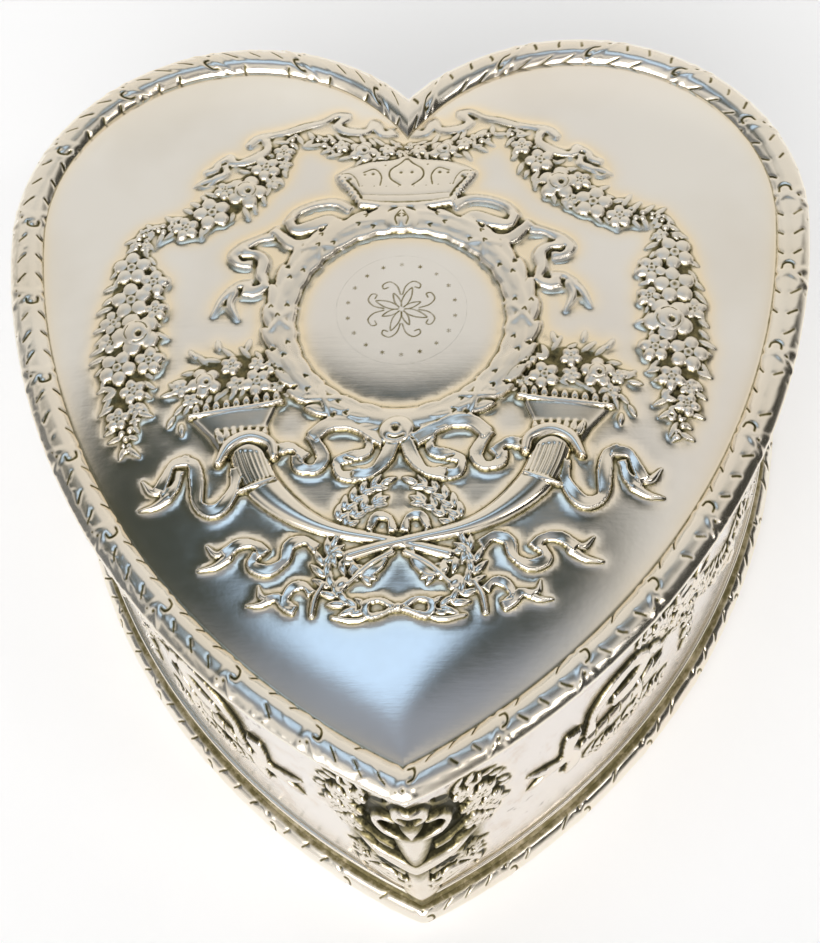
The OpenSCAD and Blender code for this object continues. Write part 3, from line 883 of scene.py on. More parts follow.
def wreath_ribbons(field, side):
    """The fluttering ends at the top of the wreath."""
    ribbons(field, side, (
        (((2.0, -3.2), (6, -3.6), (10.5, -5.0), (15.0, -8.2), (18.0, -10.8)),
         2.6, 0.9, 0.55 * RELIEF, 0.4, 0.6),
        (((9.6, -0.9), (12.5, 1.0), (16.5, 0.8), (20.3, -0.9), (22.3, -3.6)), 2.1, 1.0, 0.0, 0.2, 0.35),
        (((22.4, -3.0), (21.0, -5.6), (17.6, -5.0), (14.0, -3.6), (12.4, -5.2), (14.6, -7.6), (18.4, -9.6),
          (21.0, -9.6), (23.4, -7.6), (25.4, -5.4)), 2.9, 1.1, 0.275, 1.2, 1.1),
        (((25.4, -7.0), (28.4, -7.9), (31.6, -9.9), (33.2, -11.8), (32.0, -13.6), (29.4, -13.9)),
         2.2, 1.1, 0.0, 0.5, 0.8),
        (((31.6, -10.9), (28.6, -11.6), (27.0, -13.4), (27.4, -16.4), (26.6, -19.4), (28.6, -20.6),
          (31.0, -20.2)), 2.5, 1.0, 0.22, 0.9, 0.9),
        (((29.2, -18.8), (31.8, -19.0), (33.6, -20.6)), 2.0, 0.9, 0.1, 0.3, 0.3)), (
        (((33.2, -20.4), (35.0, -22.4), (37.0, -26.3)), (1.9, 1.3, 0.4), 0.85),
        (((32.6, -20.6), (33.4, -23.6), (31.6, -27.4)), (2.0, 1.5, 0.4), 0.85)))


def bow(field, side):
    """The bow under the wreath, whose ribbons run to the collars of the horns."""
    ribbons(field, side, (
        (((2.0, -56.6), (5.0, -54.6), (9.0, -52.6), (13.0, -52.6), (16.2, -55.4)),
         3.0, 1.35, 0.25, 0.3, 0.55),
        (((16.6, -54.6), (14.8, -57.2), (13.8, -60.0), (15.4, -62.2), (18.2, -61.6), (18.6, -59.0)),
         2.7, 1.25, 0.1, 1.3, 0.8),
        (((17.0, -59.8), (19.6, -57.4), (22.0, -57.6), (24.4, -58.8)), 2.4, 1.25, 0.3, 0.2, 0.7),
        (((5.2, -54.8), (5.2, -58.4), (8.4, -59.6), (11.0, -60.8), (10.4, -63.4), (7.0, -64.2)),
         2.4, 1.15, 0.0, 0.8, 0.9),
        (((8.0, -63.9), (4.2, -63.2), (1.9, -60.4), (0.6, -57.2), (-0.6, -55.0)), 2.9, 1.35, 0.2, 0.2, 0.7)))
    for line in (((7.0, -60.8), (9.6, -60.0)), ((6.0, -62.2), (8.8, -61.4))):
        field.groove(mirrored(line, side), 0.2, 0.4, 0.7)


def knot(field):
    """The knot of the bow."""
    x, y = ORNAMENT_X - 0.6, -54.3
    field.ball(x, y, 3.0, 1.1, 1.0, 1.15, 0.5)
    field.pit(x - 0.2, y + 0.1, 0.75, 0.8, 0.8)
    field.groove([(x - 1.6, y - 1.6), (x - 0.2, y - 2.0), (x + 1.6, y - 1.4)], 0.2, 0.4)


def side_ribbons(field, side):
    """The waving ribbon ends outside the horns, and the two smaller pairs below them."""
    ribbons(field, side, (
        (((30.2, -61.4), (30.9, -66.4), (34.0, -70.0), (37.4, -68.6), (38.0, -63.8), (38.8, -60.0),
          (41.2, -58.6)), 3.0, 1.3, 0.0, 0.5, 1.25),
        (((39.6, -59.0), (42.8, -59.6), (44.2, -62.4), (45.4, -64.8)), 2.5, 1.2, 0.15, 0.2, 0.5),
        (((41.4, -61.0), (42.2, -64.2), (44.4, -66.6)), 2.3, 1.1, 0.0, 1.0, 0.4),
        (((14.4, -79.0), (16.8, -77.2), (19.6, -78.0), (20.6, -81.2), (23.6, -82.9), (26.6, -81.6),
          (25.8, -79.2)), 2.5, 1.15, 0.0, 0.7, 1.2),
        (((24.2, -79.6), (26.0, -77.6), (29.2, -77.2), (32.2, -79.2)), 2.4, 1.15, 0.1, 0.3, 0.6),
        (((15.2, -88.0), (16.8, -86.2), (19.0, -86.6), (20.2, -89.0), (18.6, -91.0)),
         2.0, 0.95, 0.0, 0.6, 0.9),
        (((18.4, -91.2), (20.4, -90.2), (21.6, -88.4), (23.8, -88.6)), 1.8, 0.95, 0.1, 0.2, 0.7)), (
        (((44.4, -64.6), (46.8, -64.6), (48.9, -62.2)), (2.4, 1.7, 0.4), 0.95),
        (((43.6, -66.2), (46.2, -67.8), (49.2, -68.2)), (2.5, 1.6, 0.4), 0.95),
        (((31.2, -78.2), (33.6, -78.8), (35.6, -76.8)), (2.2, 1.5, 0.4), 0.9),
        (((31.4, -79.6), (34.0, -81.2), (37.2, -81.6)), (2.2, 1.4, 0.4), 0.9),
        (((23.2, -88.4), (24.8, -87.8), (25.4, -85.7)), (1.7, 1.2, 0.3), 0.8),
        (((23.2, -88.6), (25.2, -89.4), (27.6, -89.3)), (1.7, 1.1, 0.3), 0.8),
        (((13.1, -86.2), (14.6, -89.0), (15.2, -92.2)), (1.1, 1.4, 1.1), 1.0, 0.15)))


def laurels(field, side):
    """The sprays behind the crossed horns and the open wreath under them."""
    for line, height, length in (
            (((10.8, -73.0), (8.4, -69.4), (5.4, -66.6), (2.8, -65.6)), 0.9, 3.4),
            (((9.4, -74.4), (6.6, -71.2), (3.8, -69.6)), 0.75, 3.0),
            (((4.4, -91.6), (8.6, -90.6), (12.0, -87.0), (13.2, -82.6), (11.8, -79.0)), 1.05, 3.9),
            (((11.8, -79.6), (8.8, -82.6), (6.2, -84.0)), 0.9, 3.4)):
        laurel(field, line, side, height, length)
    ribbons(field, side, (
        (((1.0, -79.0), (2.6, -82.6), (5.6, -84.4), (8.2, -83.0)), 1.9, 1.0, 0.0, 0.5, 0.8),
        (((0.2, -76.0), (1.0, -73.2), (3.4, -72.8), (4.8, -75.6)), 1.9, 1.1, 0.35, 0.3, 0.7),
        (((0.2, -91.3), (2.4, -89.9), (4.9, -90.2), (5.4, -91.6), (4.4, -92.9), (2.2, -92.5), (0.2, -91.6)),
         1.5, 1.1, 0.2, 0.3, 0.8)), (
        (((0.4, -80.2), (4.6, -82.6), (8.6, -86.4)), (1.3, 1.5, 1.0), 1.0, 0.1),
        (((4.6, -93.0), (7.4, -93.6), (11.4, -92.8)), (0.9, 1.2, 0.7), 0.75)))
    field.ball(ORNAMENT_X, -91.4, 1.0, 1.0, 0.5)
    field.ball(*mirrored([(9.8, -86.4)], side)[0], 1.5, 1.1, 0.0, 1.3, 1.0)


def top_festoon(field, side):
    """The swag under the cleft, the ribbon over it, the swags beside it and the hanging drops."""
    garland(field, [(0.2, 17.4), (4.0, 16.2), (8.0, 15.9), (13.0, 16.8), (19.6, 19.6)],
            (5.0, 6.4, 6.6, 4.4, 1.0), side, 11 + side, 0.95, roses=[(7.6, 15.6, 2.9)],
            big=[(2.4, 16.4, 1.9), (12.0, 16.8, 1.8)])
    garland(field, [(21.6, 20.0), (24.6, 13.4), (28.4, 8.2), (33.0, 3.4), (38.6, -0.8), (44.0, -3.4),
                    (51.8, -4.6)], (1.0, 6.0, 8.6, 8.6, 8.0, 5.4, 1.6), side, 17 + side, 1.0,
            roses=[(31.4, 4.6, 3.9)],
            big=[(38.2, -0.8, 3.9), (27.6, 10.6, 3.1), (43.4, -4.4, 2.8), (24.0, 14.8, 2.3),
                 (35.8, 5.0, 2.3)])
    garland(field, [(52.2, -4.0), (52.8, -10.0), (53.4, -19.0), (53.4, -29.0), (53.6, -38.0), (53.2, -46.0),
                    (52.6, -56.2)], (1.2, 8.4, 11.2, 12.4, 10.6, 7.2, 1.0), side, 23 + side, 1.15,
            roses=[(52.0, -29.4, 4.7)],
            big=[(54.0, -13.6, 3.9), (49.2, -17.6, 3.1), (53.6, -21.4, 4.2), (48.4, -24.2, 2.4),
                 (49.0, -36.0, 3.1), (55.4, -37.0, 3.9), (51.8, -42.6, 2.8), (54.6, -48.4, 2.5)])
    ribbons(field, side, (
        (((1.0, 22.6), (3.6, 21.6), (5.6, 24.6)), 2.6, 0.85, 0.0, 0.6, 0.4),
        (((5.0, 25.2), (7.0, 22.0), (10.6, 21.4), (13.2, 23.0), (11.4, 25.6)), 2.2, 0.9, 0.0, 0.4, 0.8),
        (((10.6, 26.2), (13.2, 26.2), (16.4, 23.8), (19.8, 22.4), (23.4, 20.6)), 1.7, 0.8, 0.1, 0.2, 0.6),
        (((22.8, 20.9), (26.4, 20.0), (29.6, 19.0), (31.6, 16.8)), 1.7, 0.8, 0.0, 0.4, 0.6),
        (((28.0, 18.6), (27.6, 15.8), (30.4, 13.2), (34.0, 12.2), (35.8, 13.8)), 2.2, 0.9, 0.1, 0.9, 0.8),
        (((35.0, 14.2), (37.4, 12.6), (38.2, 10.8), (40.4, 9.8)), 1.5, 0.75, 0.0, 0.3, 0.6),
        (((36.2, 12.0), (36.0, 9.6), (38.4, 8.2)), 1.7, 0.8, 0.05, 0.9, 0.5)), (
        (((37.8, 8.4), (40.0, 7.8), (42.6, 6.4)), (1.6, 1.1, 0.3), 0.7),
        (((37.8, 8.2), (39.2, 6.8), (41.0, 6.0)), (1.4, 0.9, 0.3), 0.6)))


def chase_dome():
    """Stamps the ornament on the plan, and wears it down above the medallion."""
    field = PLAN
    for side in (-1, 1):
        top_festoon(field, side)
        laurels(field, side)
        cornucopia(field, side)
        side_ribbons(field, side)
    coronet(field)
    wreath(field)
    for side in (-1, 1):
        wreath_ribbons(field, side)
        bow(field, side)
    knot(field)
    medallion(field)
    field.h = blur(field.h, 0.11, field.pitch)
    upper = np.clip((field.y[:, None] + 60) / 30, 0, 1)
    worn = 0.85 * upper * (1 - 0.75 * blur(field.soft, 0.6, field.pitch))
    field.h = (1 - worn) * field.h + worn * 0.88 * blur(field.h, 0.3, field.pitch)


def lid_dome():
    """The dome with its relief, and with the fields that its silver is shaded by."""
    chase_dome()
    X, Y = PLAN.x[None, :], PLAN.y[:, None]
    inset = inset_at(X, Y)
    middle = slice(PLAN.parts // 2, None, PLAN.parts)
    centre = inset[middle, middle][:PLAN.blocks[0], :PLAN.blocks[1]]
    faces, used = relief_faces(PLAN, fine_blocks(PLAN) | (centre < 8.5), centre > 6.0)
    upper = np.clip((Y + 66) / 36, 0, 1)
    hollow = tarnish(PLAN, 0.2, outline=1 - 0.6 * upper * (1 - 0.6 * PLAN.soft))
    raised = (PLAN.h > 0.05).astype(float)
    shown = np.maximum(PLAN.h, skirt(PLAN, 0.7, 0.6))
    hollow = np.maximum(hollow, 0.55 * np.exp(-((inset - 6.75) / 0.22) ** 2))
    close = np.clip(1.7 * blur(raised, 0.85, PLAN.pitch), 0, 1)
    halo = np.clip((1.8 + 1.6 * upper) * blur(raised, 1.6, PLAN.pitch), 0, 1) * np.where(raised > 0, 0.4, 1.0)
    halo = np.maximum(halo, 0.8 * np.exp(-np.clip(inset - 6.9, 0, 9) / 1.3))
    matte = np.where(raised > 0, 0.16 * upper + 0.12 * PLAN.soft, 0.34 * close ** 3)
    q = np.hypot(X - WREATH[0], Y - WREATH[1]) / (WREATH_R - WREATH_HALF)
    z = dome_heights() + shown + MEDALLION_RISE * np.clip(1 - q ** 4, 0, 1)
    shades = {"hollow": hollow, "halo": halo, "matte": matte}
    make_mesh("chased_dome", plan_points(X, Y, z)[used], faces, "lid", SILVER_DOME, ["lid_panel"],
              fields={key: values.ravel()[used] for key, values in shades.items()})


lid_dome()


# ---------------------------------------------------------------- the laurel mouldings


def arc(inset, z, r, start, end, across=None):
    """Profile points round a centre, wider by across than it is high if that is given.

    Angles are in degrees from straight outward.
    """
    a = np.radians(np.linspace(start, end, max(4, int(abs(end - start) / 4))))
    return [(inset - (across or r) * math.cos(t), z + r * math.sin(t)) for t in a]


def swept(name, stands_for, body, profile, pattern, side, shade=None):
    """A moulding: (inset, z) points swept round half of the heart, with a pattern raised on the sweep."""
    profile = np.array(profile)
    length = np.concatenate([[0], np.cumsum(np.linalg.norm(np.diff(profile, axis=0), axis=1))])
    field = Relief(0, math.ceil(sum(half_length(4))), 0, math.ceil(length[-1]), 1.0, 4)
    pattern(field, side)
    p = field.y / field.y[-1] * length[-1]
    inset, z = np.interp(p, length, profile[:, 0]), np.interp(p, length, profile[:, 1])
    slope = np.stack([np.gradient(blur(v[:, None], 0.2, field.pitch)[:, 0]) for v in (inset, z)], 1)
    slope /= np.linalg.norm(slope, axis=1)[:, None] + 1e-9
    h = field.h
    x, y = half_points(field.x[None, :] / field.x[-1], inset[:, None] + slope[:, 1:] * h)
    height = z[:, None] - slope[:, :1] * h
    points = plan_points(x, y, np.maximum(height, 0), side)
    hollow = np.clip(1.15 * field.ink, 0, 1)
    halo = np.clip(0.35 + 0.5 * blur(field.ink, 0.8, field.pitch), 0, 1)
    if shade is not None:
        dark, warm = shade(p, field)
        hollow, halo = np.maximum(hollow, dark), np.maximum(halo, warm)
    faces = [grid_faces(len(field.y), len(field.x))]
    make_mesh(name, points, faces, body, SILVER_ROLL, [stands_for],
              fields={"hollow": hollow, "halo": halo}, flip=side > 0)


BAY_STEP = 4.9


def bay_leaves(field, side, centre, rows, height, worn):
    """Worn bay leaves that all run one way round the heart, bound every fourth leaf by crossed ribbon."""
    flow = -side
    rng = np.random.default_rng(5 + side)
    count = int(field.x[-1] / BAY_STEP) + 2
    for k in range(-1, count):
        s = k * BAY_STEP
        for row in rows:
            x = s + (0.5 * BAY_STEP if row % 2 else 0)
            y = centre + 2.75 * row
            heading = (0 if flow > 0 else math.pi) + flow * -0.16 * row
            field.leaf(x, y, heading, 7.2, 3.7, height * (1 - 0.22 * abs(row)), 0.05)
    for k in range(count):
        s = k * BAY_STEP
        if k % 4 == 0:
            for lean in (1, -1):
                band = [(s + lean * 0.42 * v, centre + v) for v in np.linspace(-4.6, 4.6, 12)]
                part, _, across, _ = field.near(spline(band), 0.9)
                level = height + 0.12 - 0.08 * (across / 0.75) ** 2
                field.lift(part, np.where(np.abs(across) < 0.75, level, 0))
            hook = ((-1.0, -1.2), (-2.1, -1.0), (-2.5, 0), (-2.1, 1.0), (-1.0, 1.2))
            field.groove([(s + flow * u, centre + v) for u, v in hook], 0.24, 0.34 * worn, 0.95 * worn)
            for v in (-2.6, 2.6):
                field.pit(s, centre + v, 0.3, 0.25, 0.9 * worn)
                field.pit(s + flow * 1.4, centre + 1.2 * v, 0.2, 0.2, 0.8 * worn)
        else:
            for v in (-1, 1):
                if rng.random() < 0.9:
                    jitter, reach = rng.normal(0, 0.2), rng.uniform(0.75, 1.1)
                    nick = [(s - flow * (1.5 * reach + jitter), centre + v * (0.9 + 2.1 * reach)),
                            (s - flow * 0.6, centre + v * 1.9), (s + flow * 0.2, centre + v * 1.0)]
                    field.groove(nick, 0.2, 0.36 * worn, (0.7 + 0.3 * rng.random()) * worn)
            if rng.random() < 0.5:
                field.pit(s + rng.normal(0, 1.2), centre + rng.choice((-4.0, 4.2)), 0.2, 0.15, 0.7 * worn)
    field.h = blur(field.h, 0.22, field.pitch)


def lid_pattern(field, side):
    """Bay leaves on top of the lid's roll, and worn leaf tips over its edge, fainter on the right."""
    bay_leaves(field, side, 5.6, (-1, 0, 1, 2), 0.15, 1.0)
    rng = np.random.default_rng(15 + side)
    left = side < 0
    for s in np.arange(0.6, field.x[-1], 1.6):
        for centre, height in ((7.9, 0.26), (9.6, 0.22)):
            turn = rng.normal(0.5, 0.35) * rng.choice((-1, 1))
            place = s + rng.normal(0, 0.5), centre + rng.normal(0, 0.4)
            size = rng.uniform(2.2, 3.8), rng.uniform(0.9, 1.5)
            field.leaf(*place, facing(turn, -side), *size,
                       height * rng.uniform(0.4, 1.1) * (1 if left else 0.3))
    field.h = blur(field.h, 0.16, field.pitch)
    fade = np.clip(field.y / 1.5, 0, 1) * np.clip((11.4 - field.y) / 1.2, 0, 1)
    field.h *= fade[:, None]


def foot_pattern(field, side):
    """Bay leaves on the foot's roll only."""
    bay_leaves(field, side, 10.4, (-1, 0, 1), 0.13, 0.9)
    fade = np.clip((field.y - 6.6) / 1.2, 0, 1) * np.clip((14.6 - field.y) / 1.2, 0, 1)
    field.h *= fade[:, None]
    field.ink *= fade[:, None]


def foot_shade(p, field):
    """The cove above the foot's roll is darkened: painted shade, in the olive of old tarnish."""
    # Painted shade with tarnish: a dark, warm band down the cove, set by its place in the profile and not by
    # light.
    cove = np.exp(-np.maximum(np.abs(p - 4.9) - 2.2, 0) ** 2 / 0.3)[:, None]
    wander = 0.50 + 0.05 * np.sin(field.x / 7.0) + 0.04 * np.sin(field.x / 2.3 + 1)
    return cove * wander[None, :], cove * np.ones_like(wander)[None, :]


LID_Z = MOULDING_LOW[2]
ROLL_R = 3.7
ROLL_Z = MOULDING_HIGH[2] - ROLL_R - 0.1
LID_PROFILE = (arc(ROLL_R, ROLL_Z, ROLL_R, 188, 90) + arc(ROLL_R, ROLL_Z, ROLL_R, 86, 38, 4.5)
               + arc(0.52, ROLL_Z + 1.94, 0.5, 36, -50) + [(0.9, ROLL_Z + 0.7)]
               + arc(ROLL_R, ROLL_Z, 2.65, -2, -62) + arc(2.85, LID_Z + 0.42, 0.42, 80, -70)
               + [(3.2, LID_Z + 0.02), (5.0, LID_Z + 0.02)])
FOOT_TOP = 11.4
FOOT_PROFILE = ([(4.75, FOOT_TOP), (4.0, FOOT_TOP)] + arc(4.05, FOOT_TOP - 0.42, 0.4, 90, -60)
                + arc(2.6, 8.7, 1.8, 160, 232) + arc(4.2, 3.95, 3.05, 90, -56) + arc(2.7, 0.75, 0.6, 70, -80)
                + [(3.0, 0.0), (5.0, 0.0)])

CORE_R = 2.4


def wooden_core(side, word):
    """The wood inside the hollow lid moulding, a little slimmer than the hollow."""
    low, high = box_mm("moulding_core_" + word)
    share, turn = np.linspace(0, 1, 160), np.radians(np.arange(0, 360, 20))
    x, y = half_points(share[:, None], ROLL_R - CORE_R * np.cos(turn)[None, :])
    points = plan_points(x, y, (low[2] + high[2]) / 2 + CORE_R * np.sin(turn), side)
    faces = [grid_faces(len(share), len(turn), wrap=True)]
    make_mesh("wooden_core_" + word, points, faces, "lid", WOOD, ["moulding_core_" + word])


for side, word in SIDES:
    swept("laurel_roll_" + word, "lid_moulding_" + word, "lid", LID_PROFILE, lid_pattern, side)
    swept("foot_roll_" + word, "foot_moulding_" + word, "box", FOOT_PROFILE, foot_pattern, side, foot_shade)
for side, word in SIDES:
    wooden_core(side, word)


# ---------------------------------------------------------------- the sides

WALL_INSET = 4.5
WALL_TOP = box_mm("side_skin_right")[1][2]


def placer(s, z, flow):
    """Turns a motif's own places into places on the wall. It runs back along the wall if flow is -1."""
    return lambda u, v: (s + flow * u, z + v)


def torch(field, s, z, flow):
    """A flaming torch tied with a ribbon, lying nearly level along the wall."""
    at = placer(s, z, flow)
    field.rod([at(0, 0), at(7, 0.6), at(15, 1.0)], (2.2, 3.0, 4.2), 1.3, 0.1)
    for k in range(4):
        field.groove([at(1.5 + 3.4 * k, -1.8), at(3.2 + 3.4 * k, 2.2)], 0.22, 0.35, 0.6)
    field.rod([at(15.4, -2.6), at(15.8, 1.0), at(15.4, 4.4)], (1.4, 1.8, 1.4), 1.5, 0.2)
    for lean, length in ((-0.5, 5.5), (-0.15, 8.0), (0.2, 9.0), (0.6, 6.5)):
        field.leaf(*at(15.5, 1.0), facing(lean, flow), length, 3.0, 1.2, 0.1)
    field.ball(*at(-0.5, 0), 1.7, 1.3)


def wall_motif(field, s, flow, seed):
    """A torch with a looped ribbon, a fishtail end and sprays of leaves round it."""
    at = placer(s, 0, flow)
    torch(field, s + flow * 12, 34.5, flow)
    field.ribbon([at(8.5, 44.5), at(7.0, 39.0), at(8.6, 33.0), at(7.6, 28.5)], 4.2, 1.3, 0.1, 0.4, 0.6)
    field.ribbon([at(8.0, 36.0), at(4.0, 36.0), at(0.8, 37.0)], 3.4, 1.2, 0.0, 0.2, 0.4)
    for v in (2.4, -2.8):
        tail = [at(1.8, 36.6 + 0.2 * v), at(-0.6, 36.8 + 0.7 * v), at(-3.2, 37.0 + 1.3 * v)]
        field.rod(tail, (2.4, 1.7, 0.4), 1.2)
    field.ribbon([at(13.0, 38.0), at(14.0, 45.0), at(19.0, 50.0), at(25.5, 51.0), at(29.0, 46.5),
                  at(25.0, 41.5), at(19.5, 42.5)], 3.4, 1.3, 0.1, 0.5, 1.4)
    field.ribbon([at(21.0, 43.0), at(27.0, 43.4), at(31.0, 46.8), at(33.6, 44.0)], 2.8, 1.2, 0.0, 1.1, 0.8)
    field.rod([at(33.0, 44.6), at(35.0, 42.0), at(38.0, 41.4)], (2.4, 1.5, 0.4), 1.1)
    garland(field, [at(27.0, 55.5), at(32.0, 54.5), at(38.0, 50.0), at(43.0, 43.0), at(46.0, 36.0)],
            (3.0, 6.0, 7.5, 6.5, 3.0), 1, seed, 1.1, big=[(*at(33.5, 53.8), 2.5), (*at(40.4, 47.2), 2.7)])
    garland(field, [at(12.0, 27.5), at(17.5, 25.5), at(24.0, 25.0), at(31.0, 26.0), at(38.0, 23.0)],
            (2.5, 5.0, 5.5, 5.0, 2.5), 1, seed + 1, 1.0, big=[(*at(18.5, 26.0), 2.2), (*at(33.0, 25.2), 2.4)])


def bow_end(field, s, z):
    """A small bow with a drop of husks under it, where two swags meet."""
    for d in (1, -1):
        at = placer(s, z, d)
        field.ribbon([at(0, 0), at(2.6, 3.4), at(6.0, 3.6), at(5.6, 0.4), at(1.6, -0.6)],
                     2.0, 1.2, 0.1, 0.4, 0.9)
        field.ribbon([at(0.8, -1.0), at(3.4, -4.0), at(2.8, -8.0), at(5.2, -11.0)],
                     2.2, 1.1, 0.0, 0.9, 0.8, True)
    field.ball(s, z, 1.9, 1.5, 0.2)
    for k in range(5):
        top = z - 4.0 - 5.4 * k
        for d in (1, 0, -1):
            field.leaf(s + 0.5 * d, top, -math.pi / 2 + 0.5 * d, 4.2 - 0.4 * abs(d), 1.8 - 0.15 * k, 1.1)
        field.ball(s, top + 0.2, 0.8 - 0.06 * k, 1.3)


def corner_motif(field, start, flow, seed):
    """Half of the lily with sprays that wraps round the front point, and round the cleft behind."""
    at = placer(start, 0, flow)
    field.rod([at(0.0, 10.5), at(0.0, 20.0), at(0.0, 31.0)], (9.0, 5.0, 6.0), 1.2, 0.0, 0.4)
    field.rod([at(0.0, 30.0), at(0.0, 37.0), at(0.0, 43.0)], (3.6, 7.0, 9.4), 1.5, 0.1, 0.4)
    field.rod([at(2.6, 45.0), at(6.2, 45.6), at(7.9, 48.6), at(6.4, 52.0), at(3.4, 52.4)],
              (1.6, 2.4, 2.2, 1.9, 1.0), 1.6, 0.2)
    field.rod([at(-0.6, 58.6), at(2.2, 57.8), at(3.2, 54.8), at(1.2, 53.4)], (2.0, 2.3, 2.0, 1.2), 1.7)
    field.ball(*at(-0.4, 49.0), 3.2, 1.5, 0.1, 1.3, math.pi / 2)
    field.rod([at(-1.0, 30.0), at(3.6, 30.6), at(8.0, 31.4), at(12.2, 34.2)], (4.6, 4.4, 3.4, 0.9), 2.0, 0.2)
    field.rod([at(5.0, 37.0), at(8.6, 38.0), at(11.6, 41.0)], (2.0, 2.2, 0.7), 1.4)
    for x, z, r, stretch, a in (
            (3.6, 47.8, 1.8, 1.6, 0.2), (9.4, 36.4, 1.5, 1.8, 1.1), (6.6, 26.6, 1.4, 2.2, 0.2),
            (10.4, 45.0, 1.3, 2.0, 1.3), (11.6, 28.4, 0.9, 1.8, 0.5), (6.6, 57.4, 1.2, 1.8, 2.6),
            (3.6, 21.6, 0.9, 2.2, 1.2), (4.4, 35.0, 0.8, 2.4, 0.9)):
        field.pit(*at(x, z), r, 1.5, 1.0, stretch, facing(a, flow), 4)
    for x, z, a, length, width in (
            (3.0, 22.5, 0.95, 10.5, 4.6), (1.8, 15.0, 0.35, 12.5, 5.0), (2.6, 14.0, 0.9, 8.0, 3.6),
            (5.4, 20.0, -0.25, 9.0, 3.0), (8.6, 33.5, 0.1, 6.0, 2.6)):
        field.leaf(*at(x, z), facing(a, flow), length, width, 1.4)
    field.flower(*at(4.2, 18.2), 2.4, 1.5, 5, 0.4)
    field.pit(*at(4.2, 18.2), 0.8, 0.9, 0.9)
    big = [(*at(x, z), r) for x, z, r in ((15.5, 51.0, 3.3), (17.0, 44.4, 3.0), (11.6, 55.4, 2.6),
                                          (12.8, 47.2, 2.6), (13.4, 39.6, 2.8))]
    garland(field, [at(9.5, 57.2), at(13.5, 56.0), at(16.0, 52.0), at(17.0, 47.0), at(15.8, 41.0),
                    at(13.5, 35.5)], (5.0, 8.0, 8.5, 8.0, 8.0, 5.5), 1, seed, 1.4, big=big, leaf_share=0.4)
    garland(field, [at(6.0, 29.0), at(9.5, 27.0), at(11.5, 24.0), at(12.5, 20.0)], (3.5, 6.0, 6.0, 3.0), 1,
            seed + 1, 1.3, big=[(*at(8.6, 27.0), 2.8)], leaf_share=0.4)
    field.rod([at(9.0, 22.5), at(12.0, 20.0), at(13.8, 16.5), at(13.2, 13.5)], (0.9, 1.8, 1.6, 0.6), 1.1)


def swag(field, s, span, seed):
    """A swag of flowers that hangs between two bows."""
    line = [(s + 1, 51.0), (s + 0.17 * span, 40.0), (s + 0.5 * span, 32.0), (s + 0.83 * span, 40.0),
            (s + span - 1, 51.0)]
    garland(field, line, (1.5, 6.0, 9.0, 6.0, 1.5), 1, seed, 1.2, roses=[(s + span / 2, 32.0, 3.8)],
            big=[(s + 0.33 * span, 34.8, 3.0), (s + 0.67 * span, 34.8, 3.0)])


def wall_side(side, word):
    """One side of the box, from the front point round the lobe to the cleft, with its ornament."""
    field = Relief(0, math.ceil(sum(half_length(WALL_INSET))), 2.2, 66.2, 1.0, 4)
    end = field.x[-1]
    corner_motif(field, 0.0, 1, 41)
    corner_motif(field, end, -1, 47)
    wall_motif(field, 29.5, 1, 51)
    wall_motif(field, end - 29.5, -1, 61)
    start = 76.0
    span = (end - 2 * start) / 3
    for k in range(3):
        swag(field, start + k * span, span, 71 + k)
    for k in range(4):
        bow_end(field, start + k * span, 52.0)
    field.h = blur(field.h, 0.16, field.pitch)
    S, Z = field.x[None, :], field.y[:, None]
    inset = WALL_INSET - np.clip(field.h, -0.8, 2.6)
    points = plan_points(*half_points(S / end, inset), np.minimum(Z, WALL_TOP), side)
    hollow = tarnish(field, 0.45, 0.6, 0.2, open_gaps=0.9)
    raised = (field.h > 0.05).astype(float)
    # Painted shade: the ground between the relief is darkened near the front point and the cleft, at mid
    # height, by place alone.
    from_end = np.minimum(S, end - S)
    deep = np.exp(-(from_end / 14.0) ** 6) * np.exp(-((Z - 40.0) / 17.0) ** 6)
    deep = 1.1 * deep * (1 - np.clip(field.h / 1.5, 0, 1)) ** 0.6
    hollow = np.maximum(hollow, deep)
    halo = np.clip(1.1 * blur(raised, 1.4, field.pitch), 0, 1) * np.where(raised > 0, 0.3, 1.0)
    # Painted shade with tarnish: a dark, warm band at the foot of the wall, just above the foot's roll.
    low = np.exp(-np.maximum(Z - FOOT_TOP, 0) / 0.5)
    faces, used = relief_faces(field, fine_blocks(field), np.ones(field.blocks, bool))
    hollow, halo = np.maximum(hollow, 0.5 * low), np.maximum(halo, low)
    make_mesh("chased_side_" + word, points[used], faces, "box", SILVER_SIDE, ["side_skin_" + word],
              fields={"hollow": hollow.ravel()[used], "halo": halo.ravel()[used]}, flip=side < 0)


for side, word in SIDES:
    wall_side(side, word)


# ---------------------------------------------------------------- the linings and the base


def heart_rings(insets, heights, count=150):
    """Rings of points round the whole heart, one for each inset and height, and the number in a ring."""
    along = np.linspace(0, 1, count)
    rings = []
    for inset, z in zip(insets, heights):
        x, y = half_points(along, inset)
        rings.append(plan_points(np.append(x, -x[-2:0:-1]), np.append(y, y[-2:0:-1]), z))
    return np.concatenate(rings), len(rings[0])


